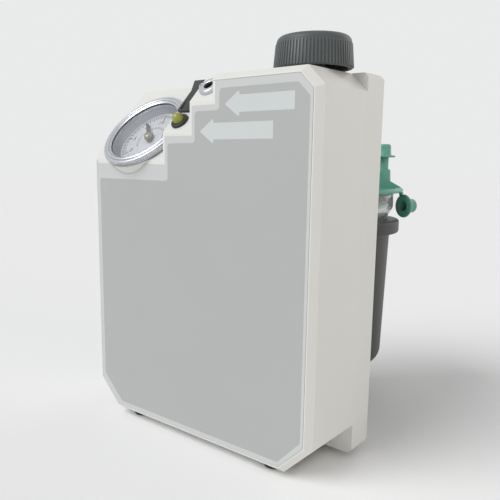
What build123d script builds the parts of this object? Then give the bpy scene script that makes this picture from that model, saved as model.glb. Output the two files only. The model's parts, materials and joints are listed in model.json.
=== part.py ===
"""Portable battery vacuum aspirator: moulded case, vacuum gauge, pump and collection canister.

Millimetres. While it is being built, x runs right across the front, y runs from the front
face to the back and z runs up from the underside of the case. At the end every piece is
moved so that the origin is the middle of the whole footprint, on the table.
"""
from build123d import *
from math import cos, pi, radians, sin, sqrt
import os

# Case
case_width = 190.0
case_height = 238.0
front_depth = 52.0        # front moulding, also how far back the gauge facet climbs
back_depth = 23.0         # rear moulding
wall = 3.0
face_inset = 3.6          # label face is smaller than the case by this all round
bevel_depth = 4.6
top_chamfer = 11.0
bottom_chamfer = 20.0
rear_chamfer = 2.5
rear_round = 3.0
riser_wall = 1.8          # upright walls between the terraces
lip_height = 3.0
lip_thickness = 1.6
fit_gap = 0.3             # between pieces that are assembled without a fit
running_gap = 0.05        # radial clearance of a shaft in its hole

overlap = 0.5             # how far a fused post, rib or nipple reaches into what carries it
cut_margin = 1.0          # how far a cutting tool runs past the surface that it cuts

label_thickness = 0.5
label_margin = 0.6
label_edge = 2.2          # border between the label and the terraces

# Vacuum gauge
case_radius = 29.7
gauge_depth = 26.0
gauge_wall = 1.6
gauge_flange = 1.8        # flange of the gauge case, past its own radius
flange_thickness = 1.6
gauge_stem_radius, gauge_stem_length, gauge_stem_bore = 5.0, 12.0, 1.5
gauge_slope = 26.4
bezel_radius = case_radius + 3.9
bezel_height = 5.6
bezel_width = 6.2
bezel_chamfer = 1.2
bezel_foot = 0.6          # gap between the bezel and the boss
knurls = 60
knurl_width, knurl_height, knurl_depth = 1.1, 3.0, 0.4
boss_radius = case_radius + 2.8
boss_depth = 10.0
dial_radius = case_radius - gauge_wall - 1.1
dial_thickness = 0.8
dial_depth = 5.6          # dial face below the facet plane
dial_hole = 2.2
dial_ring = 1.2           # how far the inner ring laps over the dial
lens_thickness = 1.6
needle_length = dial_radius - 8.5
needle_tail = 6.0
needle_width, needle_tip_width = 3.0, 1.4
needle_thickness = 0.6
needle_lift = 1.6         # above the dial
needle_rest = 130.0       # degrees from the x direction
needle_rise, needle_fall = 95.0, 175.0    # travel each way from there, to zero and to full scale
hub_radius, hub_height = 2.8, 3.0
arbor_radius = 0.9
pinion_teeth = 10
sector_ratio = 6          # sector pitch radius over pinion pitch radius
movement_margin = 7.1     # from the sector's pivot to the wall of the gauge case
gear_thickness = 1.2
gear_drop = 3.4           # pinion below the dial
gear_gap = 0.08           # between the pitch circles
plate_drop, plate_thickness, plate_half = 1.6, 1.2, 7.0
pillar_radius = 1.4
tube_margin = 8.1         # from the tube's middle line to the wall of the gauge case
tube_width, tube_height = 1.0, 2.6
tube_start, tube_sweep = 100, 230
tube_lift = 4.0

# Three sloping terraces at the top left, each rising at 45 degrees from the front face
gauge_x = bezel_radius + 3.7
gauge_step_x, gauge_step_z = gauge_x + bezel_radius + 1.1, case_height - 52.0
switch_step_x, switch_step_z = gauge_step_x + 24.0, case_height - 34.0
jack_step_x, jack_step_z = switch_step_x + 19.0, case_height - 16.0

# Battery lamp, rocker switch and charging socket
lamp_x, lamp_slope = gauge_step_x + 9.5, 9.9
lamp_radius = 3.9
lamp_flange, lamp_flange_height = 6.2, 2.0
lamp_body, lamp_depth = 5.0, 11.0
lamp_seat = 9.0           # floor of the lens bore
lens_rise = 3.0           # middle of the lens dome above the terrace
switch_x, switch_slope = gauge_step_x + 12.2, 33.0
switch_width, switch_length = 21.4, 29.0
switch_lap = 1.8          # rim wider than the housing behind it
switch_corner = 1.6
switch_body_depth = 21.0
switch_rim = 1.8
rocker_width, rocker_length = 16.4, 23.2
rocker_tilt = 12.0
rocker_top, rocker_dish = 3.6, 2.2
rocker_side, rocker_keel, keel_half = 2.4, 6.0, 4.0
rocker_swing = 0.85       # clearance at each end of the rocker
rocker_pin, pin_overhang = 1.5, 0.9
switch_well = 10.0
terminal_width, terminal_thickness, terminal_length, terminal_pitch = 4.8, 0.8, 8.0, 8.0
socket_x, socket_slope = switch_step_x + 9.2, 12.8
socket_flange, socket_flange_height = 7.2, 2.4
socket_radius = 5.5
socket_bore = 3.2
socket_depth = 13.0
socket_floor = 2.0
socket_pin = 1.05
socket_pin_tail, socket_pin_tip = 4.0, 1.5
nut_radius, nut_height = 7.9, 2.6

# Vacuum control knob and valve
knob_inset = 28.0
knob_x, knob_y = case_width - knob_inset, 36.5
knob_radius, knob_top_radius = 23.6, 22.4
knob_height = 19.0
knob_lift = 2.0
knob_wall = 2.6
knob_round = 4.5
knob_crown = 0.6          # how far the crown stands above its rounded edge
knob_ribs = 54
rib_depth = 0.7
knob_hub = 7.0
stem_radius = 3.0
stem_tip = 0.6
neck_radius = 6.0
neck_rise = 1.2
valve_nut_radius = 9.0
valve_size = 25.0
valve_height = 28.0
inlet_rise = 10.0         # inlet above the foot of the valve body

# Pump
pump_x, pump_drop = 26.0, 126.0           # shaft below the top of the case
pump_y, pump_z = knob_y, case_height - pump_drop
motor_radius, motor_length = 18.5, 58.0
motor_boss, motor_boss_height = 5.0, 2.0
shaft_radius, shaft_hold = 1.6, 11.0      # how deep the shaft sits in the motor
crank_throw = 2.0
eccentric_radius, eccentric_width, eccentric_start = 6.0, 6.0, 5.0
weight_radius, weight_thickness = 8.5, 3.0
crankcase_length = 22.0
crankcase_half, crankcase_wall = 18.0, 3.5
diaphragm_rise = 30.0     # above the shaft
diaphragm_radius, diaphragm_thickness = 16.5, 2.0
rod_plate_radius, rod_plate_thickness = 5.0, 3.6
rod_wall, rod_half = 2.2, 2.0
head_height = 14.0
fin_pitch, fin_groove = 3.5, 1.5
outlet_spacing = 11.0     # outlet nipple behind the inlet nipple
head_screw_radius, head_screw_height = 3.0, 1.8
saddle_start, saddle_length, saddle_half = 12.0, 34.0, 15.0
band_width, band_thickness = 10.0, 1.25

# Hoses inside the case
hose_radius, hose_bore = 3.5, 2.0
nipple_radius, nipple_length = hose_bore - 0.1, 9.0
hose_bend = 12.0
hose_drop = 20.7          # level run of the suction hose below the valve body

# Battery and board
battery_width, battery_depth, battery_height = 134.0, 67.0, 60.0
battery_ribs = (32.0, 102.0)              # from the left end of the battery
battery_chamfer = 2.0
tab_width, tab_thickness, tab_height = 4.8, 0.8, 6.0
tab_places = (16.0, 32.0)                 # from the left end of the battery
tab_setback = 20.0
strap_offset, strap_width, strap_thickness, strap_rib = 6.0, 22.0, 2.0, 1.2
board_width, board_height, board_thickness = 60.0, 52.0, 1.6
board_inset, board_z = 15.0, 122.0
board_standoff, board_post, board_hole, board_edge = 5.0, 2.6, 1.3, 4.0
capacitor_radius, capacitor_height, capacitor_pitch = 4.5, 14.0, 12.0
relay_width, relay_depth, relay_height = 20.0, 15.0, 16.0
fin_thickness, fin_depth, fin_height, fin_spacing = 1.5, 12.0, 20.0, 5.0
plug_width, plug_depth, plug_height = 10.0, 8.0, 11.0

# Feet and screws
foot_radius, foot_height, foot_taper = 7.0, 4.0, 1.0
foot_floor = 1.6          # rubber under the screw head
foot_inset_x, foot_inset_y = 34.0, 14.0
screw_radius, screw_head = 1.9, 3.4
screw_head_height = 2.2
screw_length = 24.0
slot_width, slot_depth = 0.8, 1.6
screw_inset = 8.0         # case screws from the inner wall
screw_levels = (60.0, 150.0)
middle_screw = (95.0, 76.0)
vent_rows, vent_pitch, vent_height = 5, 5.0, 2.0
vent_x, vent_z, vent_width = 22.0, 30.0, 24.0
muffler_x, muffler_z, muffler_width, muffler_height, muffler_depth = 19.0, 74.0, 30.0, 14.0, 12.0
muffler_round = 3.0

# Canister and its holder, on the back of the case
can_x = 120.3
can_gap = 4.0             # between the case back and the lid rim
lid_radius, lid_rim = 54.0, 3.0
lid_z = 163.5
cup_top_z, cup_bottom_z = 143.0, 30.0
cup_rim_radius, cup_rim_height = 52.4, 9.6
cup_top_radius, cup_low_radius = 46.0, 42.8
cup_round = 12.0
cup_wall = 2.2
drain_radius = 5.0
bracket_half, bracket_foot, bracket_height, bracket_thickness, bracket_round = 26.0, 58.0, 72.0, 3.0, 5.0
bracket_screw_x, bracket_screw_levels = 18.0, (70.0, 118.0)
bracket_seat = 1.2        # depth of the plate left under a screw head
rail_foot, rail_height, rail_root, rail_edge, rail_depth = 66.0, 56.0, 6.0, 9.0, 7.0
claw_half, claw_foot, claw_height = 14.0, 62.0, 64.0
jar_gap = 0.5             # between the jar and the cup
jar_wall = 1.8
jar_neck_radius = 47.5
jar_shoulder = 8.0
jar_step, jar_step_radius = 1.0, 26.0     # raised middle of the jar's floor
plug_depth_below_rim, plug_wall = 9.0, 4.8
plug_gap = 0.3            # between the lid's plug and the jar
groove_top, groove_foot, groove_depth = 2.8, 6.2, 2.5
seal_width = 2.6
lid_rib_count, lid_rib_start, lid_rib_end, lid_rib_half, lid_rib_rise = 6, 10.5, 24.0, 0.8, 1.6
rim_round, rim_land = 0.8, 5.0
port_reach = 40.0         # from the canister axis
port_angle = 40.3         # bearing of the capped port round the axis
port_base_radius, port_base_height, port_base_taper = 6.4, 13.6, 0.9
port_neck_radius, port_wall = 3.9, 1.3
cap_rise = 22.5           # open end of the port cap above the lid
cap_flange_radius, cap_flange = 8.7, 1.6
cap_radius, cap_length, cap_wall, cap_taper, cap_round = 5.5, 10.0, 1.4, 0.5, 1.8
spare_bearing, spare_reach, spare_drop = 25.0, 54.5, 10.5
spare_heading = 65.0      # direction that the loose cap points in, seen from above
tether_inset, tether_half = 3.5, 1.2
web_bearing, web_start, web_knee, web_height, web_thickness = 31.0, 18.0, 30.0, 13.0, 1.6
vacuum_bearing, vacuum_reach = 160.0, 28.0
vacuum_boss_radius, vacuum_boss_height = 7.0, 5.0
spigot_radius, spigot_length, spigot_tip, spigot_wall = 4.0, 12.0, 6.0, 1.4
inlet_collar_radius, inlet_collar = 8.0, 2.4
float_radius, float_round, float_height, float_cone = 9.0, 2.0, 20.0, 5.0
cage_gap, cage_wall, cage_height, cage_floor, cage_slot = 0.8, 1.6, 34.0, 1.6, 3.0

case_depth = front_depth + back_depth
battery_x = (case_width - battery_width) / 2
battery_foot = wall + fit_gap + lip_thickness
battery_top = battery_foot + battery_height
board_x = case_width - wall - board_inset - board_width
board_y = case_depth - wall - board_standoff
valve_top = case_height - wall - fit_gap
valve_foot = valve_top - valve_height
inlet_x, inlet_z = knob_x, valve_foot + inlet_rise
can_y = case_depth + can_gap + lid_radius
lid_top = lid_z + lid_rim
plug_radius = jar_neck_radius - jar_wall
cap_seat = lid_top + cap_rise
spare_z = lid_z - spare_drop
cage_top = lid_z - 1.0
slope_unit = sqrt(0.5)


def front_outline(inset, legs):
    """Case outline seen from the front, moved in by inset; legs are its corner chamfers."""
    bottom_left, bottom_right, top_right, top_left = [leg - inset * (2 - sqrt(2)) for leg in legs]
    x0, x1, z0, z1 = inset, case_width - inset, inset, case_height - inset
    points = []
    corners = ((x0, z0, 1, 1, bottom_left, False), (x1, z0, -1, 1, bottom_right, True),
               (x1, z1, -1, -1, top_right, False), (x0, z1, 1, -1, top_left, True))
    for x, z, dx, dz, leg, along_first in corners:
        pair = [(x, z + dz * leg), (x + dx * leg, z)] if leg > 0.2 else [(x, z)]
        points += list(reversed(pair)) if along_first else pair
    return points


front_legs = (bottom_chamfer, bottom_chamfer, top_chamfer, 0)
rear_legs = (rear_chamfer,) * 4


def front_face(outline, y):
    """Face of a front-view outline at depth y."""
    return Plane.XZ.offset(-y) * make_face(Polyline(*outline, close=True))


def slab(outline, y0, y1):
    """Prism of a front-view outline between two depths."""
    return extrude(front_face(outline, y0), amount=y1 - y0, dir=(0, 1, 0))


def turned(*points):
    """Solid of revolution about z from a closed outline of (radius, height) points."""
    return revolve(Plane.XZ * make_face(Polyline(*points, close=True)), Axis.Z)


def rod(radius, z0, z1, x=0.0, y=0.0):
    """Upright cylinder between two heights."""
    return Pos(x, y, (z0 + z1) / 2) * Cylinder(radius, z1 - z0)


def pipe(outer, inner, z0, z1):
    """Upright tube between two heights."""
    return rod(outer, z0, z1) - rod(inner, z0 - 1, z1 + 1)


def block(x0, x1, y0, y1, z0, z1):
    """Box between two corners."""
    return Pos((x0 + x1) / 2, (y0 + y1) / 2, (z0 + z1) / 2) * Box(x1 - x0, y1 - y0, z1 - z0)


def facet(x, foot_z, slope):
    """Place on a terrace: x across, y up the slope, z out of its surface."""
    rise = slope * slope_unit
    return Plane(origin=(x, rise, foot_z + rise), x_dir=(1, 0, 0), z_dir=(0, -1, 1)).location


def along_y(x, y, z):
    """Place whose own z axis points to the back of the case."""
    return Plane(origin=(x, y, z), x_dir=(1, 0, 0), z_dir=(0, 1, 0)).location


def along_x(x, y, z):
    """Place whose own z axis points to the right."""
    return Plane(origin=(x, y, z), x_dir=(0, 1, 0), z_dir=(1, 0, 0)).location


def around(bearing, reach, z=0.0):
    """Place at a bearing and reach from the canister axis."""
    angle = radians(bearing)
    return Pos(can_x + reach * cos(angle), can_y + reach * sin(angle), z)


gauge_place = facet(gauge_x, gauge_step_z, gauge_slope)
lamp_place = facet(lamp_x, switch_step_z, lamp_slope)
switch_place = facet(switch_x, switch_step_z, switch_slope)
socket_place = facet(socket_x, jack_step_z, socket_slope)
can_place = Pos(can_x, can_y, 0)
terraces = ((gauge_step_x, gauge_step_z), (switch_step_x, switch_step_z), (jack_step_x, jack_step_z))
parts = {}


def terrace_cut(right, foot_z, drop):
    """Everything above a terrace that is sunk by drop, measured square to its surface."""
    low = foot_z - drop * sqrt(2)
    reach = front_depth
    outline = Polyline((-reach, low - reach), (front_depth, low + front_depth),
                       (front_depth, case_height + reach), (-reach, case_height + reach), close=True)
    return extrude(Plane.YZ.offset(-cut_margin) * make_face(outline), amount=right + cut_margin)


def case_screw_places():
    """Where the screws join the two mouldings: x, z."""
    side = wall + screw_inset
    beside_valve = (jack_step_x + knob_x - valve_size / 2) / 2
    return [(x, z) for z in screw_levels for x in (side, case_width - side)] + [
        (beside_valve, case_height - side), middle_screw]


def foot_places():
    """Where the feet stand under the case: x, y."""
    xs = (foot_inset_x, case_width - foot_inset_x)
    ys = (foot_inset_y, case_depth - foot_inset_y)
    return [(x, y) for x in xs for y in ys]


def board_post_places():
    """Corners of the circuit board: x, z."""
    xs = (board_x + board_edge, board_x + board_width - board_edge)
    zs = (board_z + board_edge, board_z + board_height - board_edge)
    return [(x, z) for x in xs for z in zs]


def bracket_screw_places():
    """Screws of the canister bracket: x, z."""
    return [(can_x + side * bracket_screw_x, z) for side in (-1, 1) for z in bracket_screw_levels]


def make_front_shell():
    outer = slab(front_outline(0, front_legs), bevel_depth, front_depth)
    outer += loft([front_face(front_outline(0, front_legs), bevel_depth),
                   front_face(front_outline(face_inset, front_legs), 0)], ruled=True)
    hollow = slab(front_outline(wall, front_legs), wall, front_depth)
    for right, foot_z in terraces:
        outer -= terrace_cut(right, foot_z, 0)
        hollow -= terrace_cut(right + riser_wall, foot_z, wall)
    shell = outer - hollow
    shell += gauge_place * rod(boss_radius, -boss_depth, 0)
    shell -= gauge_place * rod(case_radius + fit_gap, -boss_depth - wall, cut_margin)
    shell -= slab(front_outline(face_inset + label_margin, front_legs), -cut_margin, label_thickness)
    shell += gauge_place * pipe(boss_radius, case_radius + fit_gap, -boss_depth, 0)
    shell -= lamp_place * rod(lamp_body + fit_gap / 2, -2 * wall, cut_margin)
    opening = (switch_width - switch_lap + fit_gap, switch_length - switch_lap + fit_gap)
    shell -= switch_place * Box(*opening, 4 * wall)
    shell -= socket_place * rod(socket_radius + fit_gap / 2, -2 * wall, cut_margin)
    shell -= rod(neck_radius + fit_gap, case_height - 2 * wall, case_height + cut_margin, knob_x, knob_y)
    for x, z in case_screw_places():
        shell += along_y(x, wall - overlap, z) * pipe(screw_head, screw_radius, 0, front_depth - wall + overlap)
    for place in battery_ribs:
        x = battery_x + place
        shell += block(x - wall / 3, x + wall / 3, 2 * wall, front_depth - 2 * wall, wall - overlap, battery_foot)
    for x, y in foot_places():
        if y < front_depth:
            shell -= rod(screw_radius + fit_gap / 2, -cut_margin, wall + cut_margin, x, y)
    return shell


def make_rear_shell():
    shell = slab(front_outline(0, rear_legs), front_depth, case_depth)
    back_edges = shell.edges().filter_by_position(Axis.Y, case_depth - 0.01, case_depth + 0.01)
    shell = fillet(back_edges, rear_round)
    shell -= slab(front_outline(wall, front_legs), front_depth - cut_margin, case_depth - wall)
    lip_out = front_outline(wall + fit_gap, front_legs)
    lip_in = front_outline(wall + fit_gap + lip_thickness, front_legs)
    lip_root = front_depth + lip_height - cut_margin
    lip = slab(lip_out, front_depth - lip_height, front_depth)
    lip += slab(front_outline(wall - overlap, front_legs), front_depth, lip_root)
    lip -= slab(lip_in, front_depth - lip_height - cut_margin, lip_root + cut_margin)
    clear_left = block(-cut_margin, gauge_step_x + 2 * wall, 0, lip_root + cut_margin,
                       gauge_step_z - boss_radius - wall, case_height)
    shell += lip - clear_left - screw_clearance()
    inner_back = case_depth - wall - cut_margin
    through = wall + 2 * cut_margin
    for x, z in case_screw_places():
        shell += along_y(x, front_depth + fit_gap, z) * rod(screw_head + cut_margin, 0, back_depth - wall)
        shell -= along_y(x, front_depth - cut_margin, z) * rod(screw_radius + fit_gap / 2, 0, back_depth + 2)
        sink = along_y(x, case_depth - screw_head_height - 1, z)
        shell -= sink * rod(screw_head + fit_gap, 0, 2 * screw_head_height)
    for x, z in board_post_places():
        shell += along_y(x, board_y, z) * rod(board_post, 0, board_standoff)
    for x, y in foot_places():
        if y > front_depth:
            shell -= rod(screw_radius + fit_gap / 2, -cut_margin, wall + cut_margin, x, y)
    for x, z in bracket_screw_places():
        shell -= along_y(x, inner_back, z) * rod(screw_radius + fit_gap / 2, 0, through)
    shell -= along_y(inlet_x, inner_back, inlet_z) * rod(spigot_radius + 1 + fit_gap / 2, 0, through)
    for row in range(vent_rows):
        foot = vent_z + vent_pitch * row
        shell -= block(vent_x, vent_x + vent_width, inner_back, inner_back + through, foot, foot + vent_height)
    return shell


def screw_clearance():
    """Space for the screw posts of the front moulding where the rear lip passes them."""
    posts = [along_y(x, front_depth - 2 * lip_height, z) * rod(screw_head + fit_gap, 0, 3 * lip_height)
             for x, z in case_screw_places()]
    return Part() + posts


def make_front_label():
    label = slab(front_outline(face_inset + label_margin + fit_gap, front_legs), 0, label_thickness)
    for right, foot_z in terraces:
        top = case_height + cut_margin
        label -= block(-cut_margin, right + label_edge, -cut_margin, wall, foot_z - label_edge, top)
    return label - gauge_place * rod(boss_radius + fit_gap, -boss_depth - wall, wall)


def make_case_screws():
    screw = rod(screw_radius - running_gap, -screw_length, 0) + rod(screw_head, 0, screw_head_height)
    screw -= Pos(0, 0, screw_head_height) * Box(slot_width, 2 * screw_head, slot_depth)
    head_y = case_depth - screw_head_height - 1
    return Part() + [along_y(x, head_y, z) * screw for x, z in case_screw_places()]


def make_feet():
    hole, sink = screw_radius + fit_gap, screw_head + fit_gap
    foot = turned((hole, 0), (hole, -foot_floor), (sink, -foot_floor), (sink, -foot_height),
                  (foot_radius - foot_taper, -foot_height), (foot_radius, 0))
    return Part() + [Pos(x, y, 0) * foot for x, y in foot_places()]


def make_foot_screws():
    screw = rod(screw_radius - running_gap, -foot_floor, wall + 0.2) + rod(screw_head, -2 * foot_floor, -foot_floor)
    return Part() + [Pos(x, y, 0) * screw for x, y in foot_places()]


def make_gauge_case():
    cup = rod(case_radius, -gauge_depth, fit_gap) + rod(case_radius + gauge_flange, fit_gap, flange_thickness)
    cup -= rod(case_radius - gauge_wall, -gauge_depth + gauge_wall, flange_thickness + cut_margin)
    end = -gauge_depth - gauge_stem_length
    stem = rod(gauge_stem_radius, end, -gauge_depth)
    stem -= rod(gauge_stem_bore, end - cut_margin, -gauge_depth - gauge_wall)
    return gauge_place * (cup + stem)


def make_gauge_bezel():
    inner = bezel_radius - bezel_width
    pocket = case_radius + gauge_flange + fit_gap
    lens_top = flange_thickness + lens_thickness + 2 * running_gap
    ring = turned((inner, lens_top + bezel_chamfer / 2), (inner + bezel_chamfer, bezel_height),
                  (bezel_radius - bezel_chamfer, bezel_height), (bezel_radius, bezel_height - bezel_chamfer),
                  (bezel_radius, bezel_foot), (pocket, bezel_foot), (pocket, lens_top), (inner, lens_top))
    notch = Pos(bezel_radius, 0, bezel_foot) * Box(2 * knurl_depth, knurl_width, knurl_height)
    cuts = [Rot(0, 0, 360.0 * i / knurls) * notch for i in range(knurls)]
    return gauge_place * (ring - cuts)


def make_gauge_lens():
    seat = flange_thickness + running_gap
    return gauge_place * rod(case_radius + gauge_flange - 0.2, seat, seat + lens_thickness)


def make_gauge_dial():
    """Dial plate with its raised seat ring, and the deep inner ring round it."""
    dial = rod(dial_radius, -dial_depth - dial_thickness, -dial_depth)
    ring = pipe(case_radius - gauge_wall - running_gap, dial_radius - dial_ring, -dial_depth, flange_thickness - 0.1)
    return gauge_place * (dial + ring - rod(dial_hole, -dial_depth - 2 * dial_thickness, 0))


gear_module = 2 * (case_radius - gauge_wall - movement_margin) / (pinion_teeth * (1 + sector_ratio))
pinion_pitch = gear_module * pinion_teeth / 2
sector_pitch = pinion_pitch * sector_ratio
sector_teeth = pinion_teeth * sector_ratio
gear_z = -dial_depth - dial_thickness - gear_drop
sector_pivot = (0.0, -(pinion_pitch + sector_pitch + gear_gap))


def gear_profile(teeth, count, pitch_radius, first_angle):
    """Outline of a run of gear teeth as (x, y) points."""
    addendum, dedendum = 0.8 * gear_module, 1.0 * gear_module
    half_root = 0.25 * gear_module * pi
    half_tip = 0.10 * gear_module * pi
    points = []
    for i in range(count):
        centre = radians(first_angle + 360.0 * i / teeth)
        for radius, half in ((pitch_radius - dedendum, -half_root), (pitch_radius + addendum, -half_tip),
                             (pitch_radius + addendum, half_tip), (pitch_radius - dedendum, half_root)):
            angle = centre + half / pitch_radius
            points.append((radius * cos(angle), radius * sin(angle)))
    return points


def make_gauge_needle():
    """Pointer, its hub, the arbor through the dial and the pinion below it."""
    z0 = -dial_depth + needle_lift
    tail_half, tip_half = needle_width / 2, needle_tip_width / 2
    shoulder = needle_length - needle_width
    blade = Polyline((-needle_tail, -tail_half), (shoulder, -tip_half), (needle_length, 0), (shoulder, tip_half),
                     (-needle_tail, tail_half), close=True)
    needle = Pos(0, 0, z0) * extrude(make_face(blade), amount=needle_thickness)
    hub = turned((0, z0 - 0.4), (hub_radius, z0 - 0.4), (hub_radius, z0 + hub_height / 2),
                 (hub_radius - 0.8, z0 + hub_height - 0.4), (0, z0 + hub_height))
    needle = Rot(0, 0, needle_rest) * (needle + hub)
    needle += rod(arbor_radius, gear_z - plate_drop - plate_thickness - 0.2, z0)
    teeth = gear_profile(pinion_teeth, pinion_teeth, pinion_pitch, 90.0)
    pinion = Pos(0, 0, gear_z) * extrude(make_face(Polyline(*teeth, close=True)), amount=gear_thickness)
    return gauge_place * (needle + pinion)


def make_gauge_sector():
    """Toothed sector whose teeth mesh with the pinion; its travel is one sixth of the needle's."""
    step = 360.0 / sector_teeth
    rows_right = int(needle_fall / sector_ratio / step) + 2
    rows_left = int(needle_rise / sector_ratio / step) + 2
    first = 90.0 + step / 2 - rows_right * step
    points = gear_profile(sector_teeth, rows_right + rows_left, sector_pitch, first)
    heel = 3 * arbor_radius
    arm = [(heel * cos(radians(a)), heel * sin(radians(a))) for a in range(150, 391, 30)]
    blank = make_face(Polyline(*points, *arm, close=True))
    sector = extrude(blank, amount=gear_thickness)
    sector += rod(arbor_radius, -plate_drop - plate_thickness / 2, 2 * gear_thickness)
    return gauge_place * (Pos(*sector_pivot, gear_z) * sector)


def make_gauge_plate():
    """Movement plates with the bearings of the arbor and of the sector."""
    upper = gear_z - plate_drop
    lower = upper - plate_thickness
    front, back = sector_pivot[1] - plate_half / 2, plate_half
    plate = block(-plate_half, plate_half, front, back, lower, upper)
    for x, y in ((0, 0), sector_pivot):
        plate -= rod(arbor_radius + running_gap, lower - cut_margin, upper + cut_margin, x, y)
    feet_z = -gauge_depth + gauge_wall
    inset = pillar_radius + 0.4
    for x in (inset - plate_half, plate_half - inset):
        for y in (front + inset, back - inset):
            plate += rod(pillar_radius, feet_z, lower, x, y)
    return gauge_place * plate


def make_bourdon_tube():
    """Curved pressure tube on its socket, below the movement plate."""
    floor = -gauge_depth + gauge_wall
    radius = case_radius - gauge_wall - tube_margin
    path = Pos(0, 0, floor + tube_lift) * CenterArc((0, 0), radius, tube_start, tube_sweep)
    tube = sweep(Plane(origin=path @ 0, z_dir=path % 0) * Rectangle(tube_width, tube_height), path=path)
    end = path @ 1
    half = tube_lift
    top = floor + tube_lift + tube_height
    socket = block(end.X - half, end.X + half, end.Y - half / 2, end.Y + 0.75 * half, floor, top)
    return gauge_place * (tube + socket)


def make_lamp_holder():
    top = lamp_flange_height
    body = rod(lamp_body, -lamp_depth, 0)
    body += turned((0, 0), (lamp_flange, 0), (lamp_flange, top - 1.2), (lamp_flange - 1, top), (0, top))
    lead_hole = rod(lamp_radius / 3, -lamp_depth - cut_margin, top)
    return lamp_place * (body - rod(lamp_radius + running_gap, -lamp_seat, top + cut_margin) - lead_hole)


def make_lamp_lens():
    lens = rod(lamp_radius, 0.2 - lamp_seat, lens_rise)
    lens += Pos(0, 0, lens_rise) * Sphere(lamp_radius)
    return lamp_place * lens


def make_switch_body():
    """Snap-in switch: raised rim, housing below it and the well that the rocker swings in."""
    rim = extrude(RectangleRounded(switch_width, switch_length, switch_corner), amount=switch_rim)
    housing = Box(switch_width - switch_lap, switch_length - switch_lap, switch_body_depth)
    body = rim + Pos(0, 0, -switch_body_depth / 2) * housing
    body -= Box(rocker_width + 2 * fit_gap, rocker_length + 2 * rocker_swing, 2 * switch_well)
    hole_end = rocker_width / 2 + pin_overhang + fit_gap
    pin_hole = along_x(0, 0, 0) * rod(rocker_pin + running_gap, -hole_end, hole_end)
    return switch_place * (body - pin_hole)


def make_switch_rocker():
    """Rocker with two dished faces, at rest with its upper end raised."""
    half = rocker_length / 2
    profile = Polyline((-half, rocker_top), (0, rocker_dish), (half, rocker_top), (half - 0.8, -rocker_side),
                       (keel_half, -rocker_keel), (-keel_half, -rocker_keel), (0.8 - half, -rocker_side), close=True)
    face = Plane.YZ.offset(-rocker_width / 2) * make_face(profile)
    rocker = extrude(face, amount=rocker_width)
    pin_end = rocker_width / 2 + pin_overhang
    rocker += along_x(0, 0, 0) * rod(rocker_pin, -pin_end, pin_end)
    return switch_place * (Rot(rocker_tilt, 0, 0) * rocker)


def make_switch_terminals():
    blade = Box(terminal_width, terminal_thickness, terminal_length)
    blade = Pos(0, 0, -switch_body_depth - terminal_length / 2) * blade
    return switch_place * (Part() + [Pos(0, row * terminal_pitch, 0) * blade for row in (-1, 0, 1)])


def make_socket_body():
    body = rod(socket_radius, -socket_depth, 0)
    top, half = socket_flange_height, socket_flange_height / 2
    body += turned((0, 0), (socket_flange, 0), (socket_flange, half), (socket_flange - half, top), (0, top))
    body -= rod(socket_bore, -socket_depth + socket_floor, top + cut_margin)
    body -= rod(socket_pin + running_gap, -socket_depth - cut_margin, 0)
    return socket_place * body


def make_socket_pin():
    return socket_place * rod(socket_pin, -socket_depth - socket_pin_tail, -socket_pin_tip)


def make_socket_nut():
    nut = extrude(Rot(0, 0, 30) * RegularPolygon(nut_radius, 6), amount=nut_height)
    nut -= rod(socket_radius + running_gap, -cut_margin, nut_height + cut_margin)
    return socket_place * (Pos(0, 0, -wall - nut_height) * nut)


def ribbed_outline(radius):
    """Closed outline of a ribbed grip."""
    points = []
    for i in range(knob_ribs):
        for share, reach in ((0.0, radius - rib_depth), (0.3, radius), (0.7, radius)):
            angle = 2 * pi * (i + share) / knob_ribs
            points.append((reach * cos(angle), reach * sin(angle)))
    return make_face(Polyline(*points, close=True))


def make_knob():
    grip = loft([ribbed_outline(knob_radius), Pos(0, 0, knob_height) * ribbed_outline(knob_top_radius)], ruled=True)
    foot = (knob_radius + cut_margin, 0)
    shoulder = (knob_top_radius + fit_gap, knob_height - knob_round)
    rim = (knob_top_radius - knob_round, knob_height - knob_crown)
    crown = Line((0, 0), foot) + Line(foot, shoulder) + RadiusArc(shoulder, rim, -knob_round - fit_gap)
    crown += Line(rim, (0, knob_height)) + Line((0, knob_height), (0, 0))
    grip &= revolve(Plane.XZ * make_face(crown), Axis.Z)
    roof = knob_height - knob_wall
    grip -= turned((0, -1), (knob_radius - knob_wall, -1), (knob_top_radius - knob_wall, roof - 2), (0, roof - 1))
    grip += rod(knob_hub, fit_gap, roof)
    grip -= rod(stem_radius + running_gap, -cut_margin, roof - knob_wall)
    return Pos(knob_x, knob_y, case_height + knob_lift) * grip


def make_valve_stem():
    top = case_height + knob_lift + knob_height - 2 * knob_wall - fit_gap
    taper = 2 * stem_radius
    stem = rod(stem_radius, valve_foot + taper + 1.3, top)
    tip = valve_foot + 1.3
    stem += turned((0, tip), (stem_tip, tip), (stem_radius - 0.8, tip + taper), (0, tip + taper))
    return Pos(knob_x, knob_y, 0) * stem


def make_valve_body():
    half = valve_size / 2
    neck_top = case_height + neck_rise
    body = block(-half, half, -half, half, valve_foot, valve_top) + rod(neck_radius, valve_top, neck_top)
    body -= rod(stem_radius + running_gap, valve_foot + 0.3, neck_top + cut_margin)
    body += rod(nipple_radius, valve_foot - nipple_length, valve_foot)
    side = along_y(0, 0, valve_foot + inlet_rise)
    body += side * rod(spigot_radius, half - overlap, case_depth - wall - 2 - fit_gap - knob_y)
    body -= side * rod(spigot_radius - spigot_wall, stem_radius + 1, case_depth)
    return Pos(knob_x, knob_y, 0) * body


def make_valve_nut():
    nut = extrude(RegularPolygon(valve_nut_radius, 6), amount=neck_rise - 0.2)
    nut -= rod(neck_radius + running_gap, -cut_margin, neck_rise + cut_margin)
    return Pos(knob_x, knob_y, case_height) * nut


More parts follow.
